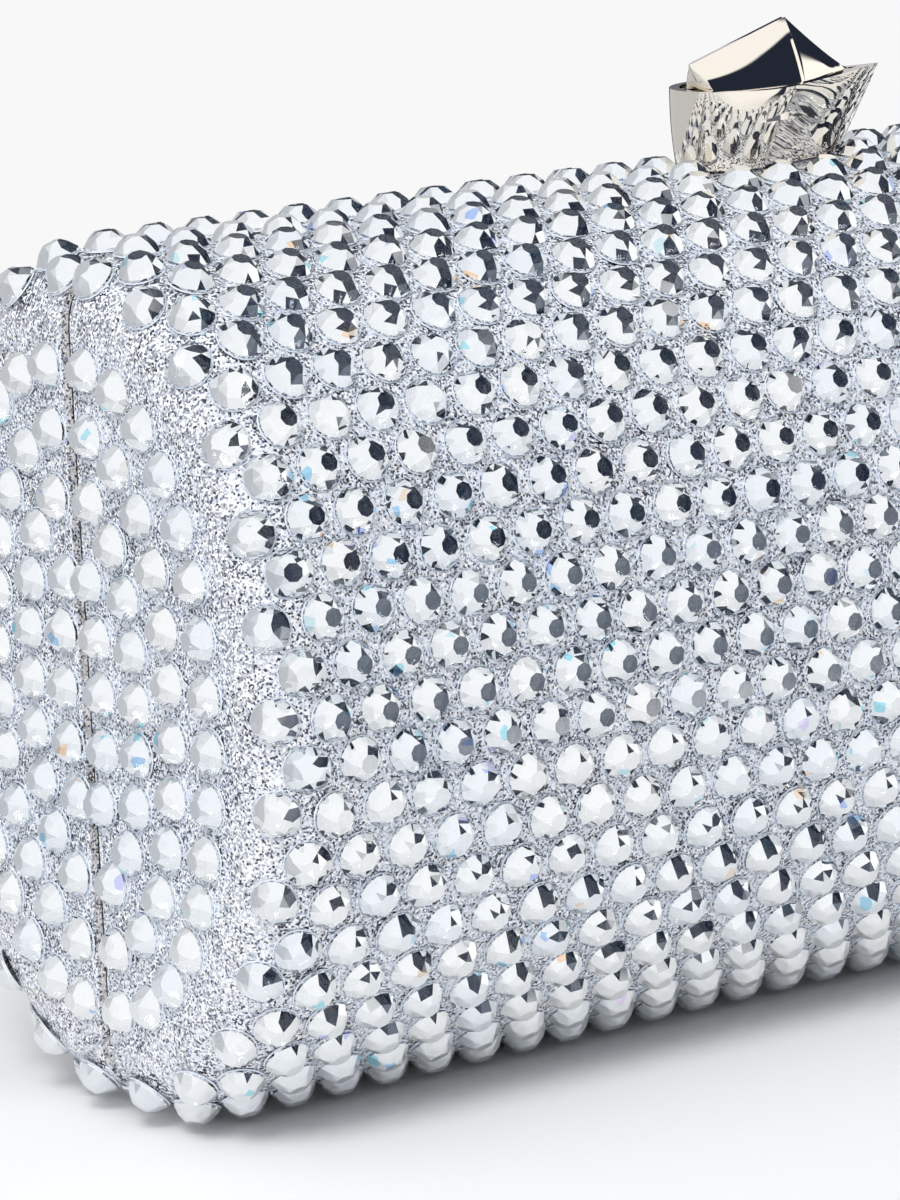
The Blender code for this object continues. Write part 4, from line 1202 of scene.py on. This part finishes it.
@dataclass
class FabricCover:
    """The glitter fabric over one half, turned in at its rim and cut back round the hinge."""

    half: Half
    body: BodyForm
    clasp: ClaspForm
    cloth: Finish = GlitterCloth()
    piece_word: str = "fabric"
    node_word: str = "cover"
    slot: Slot = Slot.STONES
    inset: float = 0.0
    thickness: float = 0.9 * MM
    rim: float = 0.85 * MM
    rim_rounding: float = 0.4 * MM
    sharp_angle: float = 60.0
    rounded_angle: float = 55.0
    hole_drop: float = 3.0 * MM
    hole_rise: float = 1.0 * MM
    hinge_clearance_radius: float = 2.1 * MM
    hinge_clearance_reach: float = 75.6 * MM
    grid: tuple[int, int, int] = (8, 40, 90)

    def build(self) -> Piece:
        """Builds the piece over its half and returns it."""
        skin = self.body.skin(self.half, self.inset, self.rim, self.grid)
        piece = skin.piece(f"{self.half.label}_{self.piece_word}", self.cloth, self.sharp_angle)
        self.thicken(piece)
        for cutter in self.cutters():
            carve(piece, cutter, self.cloth)
        round_edges(piece, self.rim_rounding, self.rounded_angle)
        return dress(piece, self.half.body, self.slot, f"{self.half.label}_{self.node_word}")

    def cutters(self) -> list[MeshParts]:
        """Returns what is cut out: room for the hinge, and the clasp's holes."""
        hinge = level_bar(self.hinge_clearance_radius, self.hinge_clearance_reach, self.body.foot_z)
        return [hinge] + self.clasp_holes()

    def clasp_holes(self) -> list[MeshParts]:
        """Returns the holes of the clasp's fixings, which only the rear half has."""
        if self.half is Half.FRONT:
            return []
        top = self.body.top_z + self.hole_rise
        return [self.clasp.fixing_holes(self.body.top_z - self.hole_drop, top, top)]

    def thicken(self, cover: Piece) -> None:
        """Gives the skin its thickness, inwards."""
        centre = Vector((0.0, 0.0, self.body.centre_z))
        face = max(cover.data.polygons, key=lambda polygon: abs(polygon.center.y))
        outward = (face.center - centre).dot(face.normal) > 0
        modifier = cover.modifiers.new("thickness", "SOLIDIFY")
        modifier.thickness = self.thickness
        modifier.offset = -1.0 if outward else 1.0
        modifier.use_even_offset = True
        bake_modifiers(cover)


@dataclass
class SuedeLining(FabricCover):
    """The suede lining inside one half, with a piped edge."""

    cloth: Finish = SUEDE
    piece_word: str = "suede"
    node_word: str = "lining"
    slot: Slot = Slot.LINING
    inset: float = 3.3 * MM
    thickness: float = 0.7 * MM
    rim: float = 2.5 * MM
    rim_rounding: float = 0.25 * MM
    hole_drop: float = 9.0 * MM
    hole_rise: float = 0.0
    grid: tuple[int, int, int] = (5, 30, 60)

    def cutters(self) -> list[MeshParts]:
        """Returns what is cut out: the clasp's holes, as the lining ends before the hinge."""
        return self.clasp_holes()


@dataclass
class Hardware:
    """The CAD nodes that keep their own shape and get a finished surface."""

    nickel_nodes: tuple[str, ...] = ("front_frame", "rear_frame", "hinge_pin")
    plastic_nodes: tuple[str, ...] = ("front_shell", "rear_shell")
    steel_nodes: tuple[str, ...] = (
        *("latch_bracket", "latch_striker", "catch_lever", "catch_pin", "button_stem", "button_spring"),
        *(f"{part}_screw_{side}" for part in ("cup", "bracket", "striker") for side in ("left", "right")),
    )

    def dress(self, nodes: dict[str, Piece]) -> None:
        """Gives each kept node its finish.

        Args:
            nodes: The frame's nodes by name.
        """
        groups = ((NICKEL, self.nickel_nodes), (STEEL, self.steel_nodes), (PLASTIC, self.plastic_nodes))
        for finish, names in groups:
            for name in names:
                for slot in nodes[name].material_slots:
                    slot.material = finish.material()
                LOG.info("%s: %s", name, finish.name)


# The studio


@dataclass(frozen=True)
class PhotoCamera:
    """The camera of the photograph, found from the bag's edges and stone rows."""

    focal_pixels: float = 5860.9
    frame_width: float = 900.0
    sensor: float = 36.0
    turn: float = math.radians(35.213)
    rise: float = math.radians(11.059)
    roll: float = math.radians(-2.616)
    target: Point = (-46.957 * MM, 0.0, 48.541 * MM)
    distance: float = 625.08 * MM
    clip_start: float = 10.0 * MM

    def build(self) -> Piece:
        """Adds the camera, makes it the scene's, and returns it."""
        sine, cosine = math.sin(self.turn), math.cos(self.turn)
        level_share = math.cos(self.rise)
        back = Vector((-sine * level_share, -cosine * level_share, math.sin(self.rise)))
        level = Vector((cosine, -sine, 0.0))
        upright = back.cross(level)
        right = math.cos(self.roll) * level + math.sin(self.roll) * upright
        up = -math.sin(self.roll) * level + math.cos(self.roll) * upright
        lens = bpy.data.cameras.new("photo_camera")
        lens.sensor_fit = "HORIZONTAL"
        lens.sensor_width = self.sensor
        lens.lens = self.focal_pixels / self.frame_width * self.sensor
        lens.clip_start = self.clip_start
        camera = placed("photo_camera", lens)
        place = Matrix((right, up, back)).transposed().to_4x4()
        place.translation = Vector(self.target) + self.distance * back
        camera.matrix_world = place
        bpy.context.scene.camera = camera
        return camera


@dataclass(frozen=True)
class RoomPatch:
    """A part of the room with its own light, bounded by angles in degrees.

    The azimuth is 0 in front of the bag and grows to its right. The upper bound moves with it by the slope.
    """

    light: Colour
    azimuths: tuple[float, float]
    lowest: float
    highest: float
    high_slope: float = 0.0
    edge: float = 1.0

    def cover(self, graph: NodeGraph, azimuth: Socket, elevation: Socket) -> Socket:
        """Returns the socket that is 1 inside the patch and 0 outside it.

        Args:
            graph: The world's nodes.
            azimuth: The direction's azimuth in degrees.
            elevation: The direction's elevation in degrees.

        Returns:
            The product of the four bounds' steps.
        """
        turned = graph.math("MULTIPLY", azimuth, -1.0)
        under = graph.math("SUBTRACT", graph.math("MULTIPLY", azimuth, self.high_slope), elevation)
        values = (azimuth, turned, elevation, under)
        places = (self.azimuths[0], -self.azimuths[1], self.lowest, -self.highest)
        cover = 1.0
        for value, place in zip(values, places):
            step = graph.remap(value, (place - self.edge, place + self.edge), smooth=True)
            cover = graph.math("MULTIPLY", cover, step)
        return cover


@dataclass(frozen=True)
class Studio:
    """A white paper floor in a pale room with eight dark and two bright patches, and one soft lamp."""

    background: float = 0.9387
    back_tilt: float = 0.7
    light_blend: float = 0.4
    back_light: Colour = (0.60, 0.615, 0.645)
    front_light: Colour = (1.08, 1.09, 1.11)
    patches: tuple[RoomPatch, ...] = (
        RoomPatch((0.15, 0.17, 0.21), (20.0, 56.0), -19.0, 5.0, edge=2.0),
        RoomPatch((0.025, 0.035, 0.06), (20.0, 60.0), -44.0, -50.0, high_slope=0.6, edge=2.0),
        RoomPatch((0.03, 0.04, 0.065), (60.0, 100.0), 38.0, 62.0, edge=2.0),
        RoomPatch((0.05, 0.06, 0.08), (125.0, 160.0), -10.0, 7.0, edge=2.0),
        RoomPatch((0.05, 0.06, 0.085), (-22.0, 12.0), -4.0, 16.0, edge=1.5),
        RoomPatch((0.018, 0.025, 0.045), (10.0, 61.0), 4.0, 41.0),
        RoomPatch((0.018, 0.025, 0.045), (59.0, 118.0), -3.0, 30.0),
        RoomPatch((0.05, 0.06, 0.08), (100.0, 175.0), 24.0, 62.0, edge=2.0),
        RoomPatch((1.2, 1.2, 1.2), (47.0, 64.0), 14.0, 33.0, edge=2.0),
        RoomPatch((1.2, 1.2, 1.2), (63.0, 87.0), -2.0, 14.6),
    )
    lamp_place: Point = (-0.75, -0.55, 1.0)
    lamp_size: float = 0.5
    lamp_power: float = 7.0
    lamp_target: Point = (0.0, 0.0, 0.05)
    floor_radius: float = 0.21
    floor_sides: int = 96

    def build(self) -> None:
        """Adds the floor, the world and the lamp."""
        self.floor()
        self.world()
        self.lamp()

    def floor(self) -> None:
        """Adds the round paper floor."""
        mesh = bpy.data.meshes.new("studio_floor")
        count = self.floor_sides
        ring = [(x, y, 0.0) for x, y in circle(self.floor_radius, count)]
        faces = [[0, 1 + index, 1 + (index + 1) % count] for index in range(count)]
        mesh.from_pydata([(0.0, 0.0, 0.0)] + ring, [], faces)
        mesh.materials.append(PaperFloor().material())
        floor = placed("studio_floor", mesh)

    def world(self) -> None:
        """Sets the room's light by direction, and a plain background for the camera."""
        world = bpy.data.worlds.new("studio_room")
        bpy.context.scene.world = world
        graph = NodeGraph(world)
        towards = graph.add("ShaderNodeTexCoord").outputs["Generated"]
        x, y, z = graph.add("ShaderNodeSeparateXYZ", {0: towards}).outputs
        degrees = 180 / math.pi
        azimuth = graph.math("ARCTAN2", x, graph.math("MULTIPLY", y, -1.0))
        azimuth = graph.math("MULTIPLY", azimuth, degrees)
        elevation = graph.math("MULTIPLY", graph.math("ARCSINE", z), degrees)
        rearward = graph.math("SUBTRACT", y, graph.math("MULTIPLY", z, self.back_tilt))
        forward = graph.remap(rearward, (self.light_blend, -self.light_blend))
        colour = graph.mix(forward, self.back_light, self.front_light)
        for patch in self.patches:
            colour = graph.mix(patch.cover(graph, azimuth, elevation), colour, patch.light)
        camera_ray = graph.add("ShaderNodeLightPath").outputs["Is Camera Ray"]
        colour = graph.mix(camera_ray, colour, (self.background,) * 3)
        light = graph.add("ShaderNodeBackground", {"Color": colour, "Strength": 1.0})
        graph.finish(light.outputs["Background"], "ShaderNodeOutputWorld")

    def lamp(self) -> None:
        """Adds the soft lamp, aimed at the bag."""
        light = bpy.data.lights.new("soft_lamp", "AREA")
        light.shape = "DISK"
        light.size = self.lamp_size
        light.energy = self.lamp_power
        lamp = placed("soft_lamp", light)
        lamp.location = self.lamp_place
        lamp.visible_glossy = False
        aim = Vector(self.lamp_target) - Vector(self.lamp_place)
        lamp.rotation_euler = aim.to_track_quat("-Z", "Y").to_euler()


def main() -> None:
    """Builds every piece of the bag over the frame, and the studio round it."""
    logging.basicConfig(level=logging.INFO, format="%(name)s: %(message)s")
    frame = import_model()
    bpy.context.scene.view_settings.view_transform = "Standard"
    body = BodyForm()
    clasp = ClaspForm()
    PhotoCamera().build()
    Studio().build()
    for half in Half:
        FabricCover(half, body, clasp).build()
        SuedeLining(half, body, clasp).build()
        StoneField(half, body, clasp).build()
    Clasp(clasp).build()
    Hardware().dress(frame["nodes"])


if __name__ == "__main__":
    main()
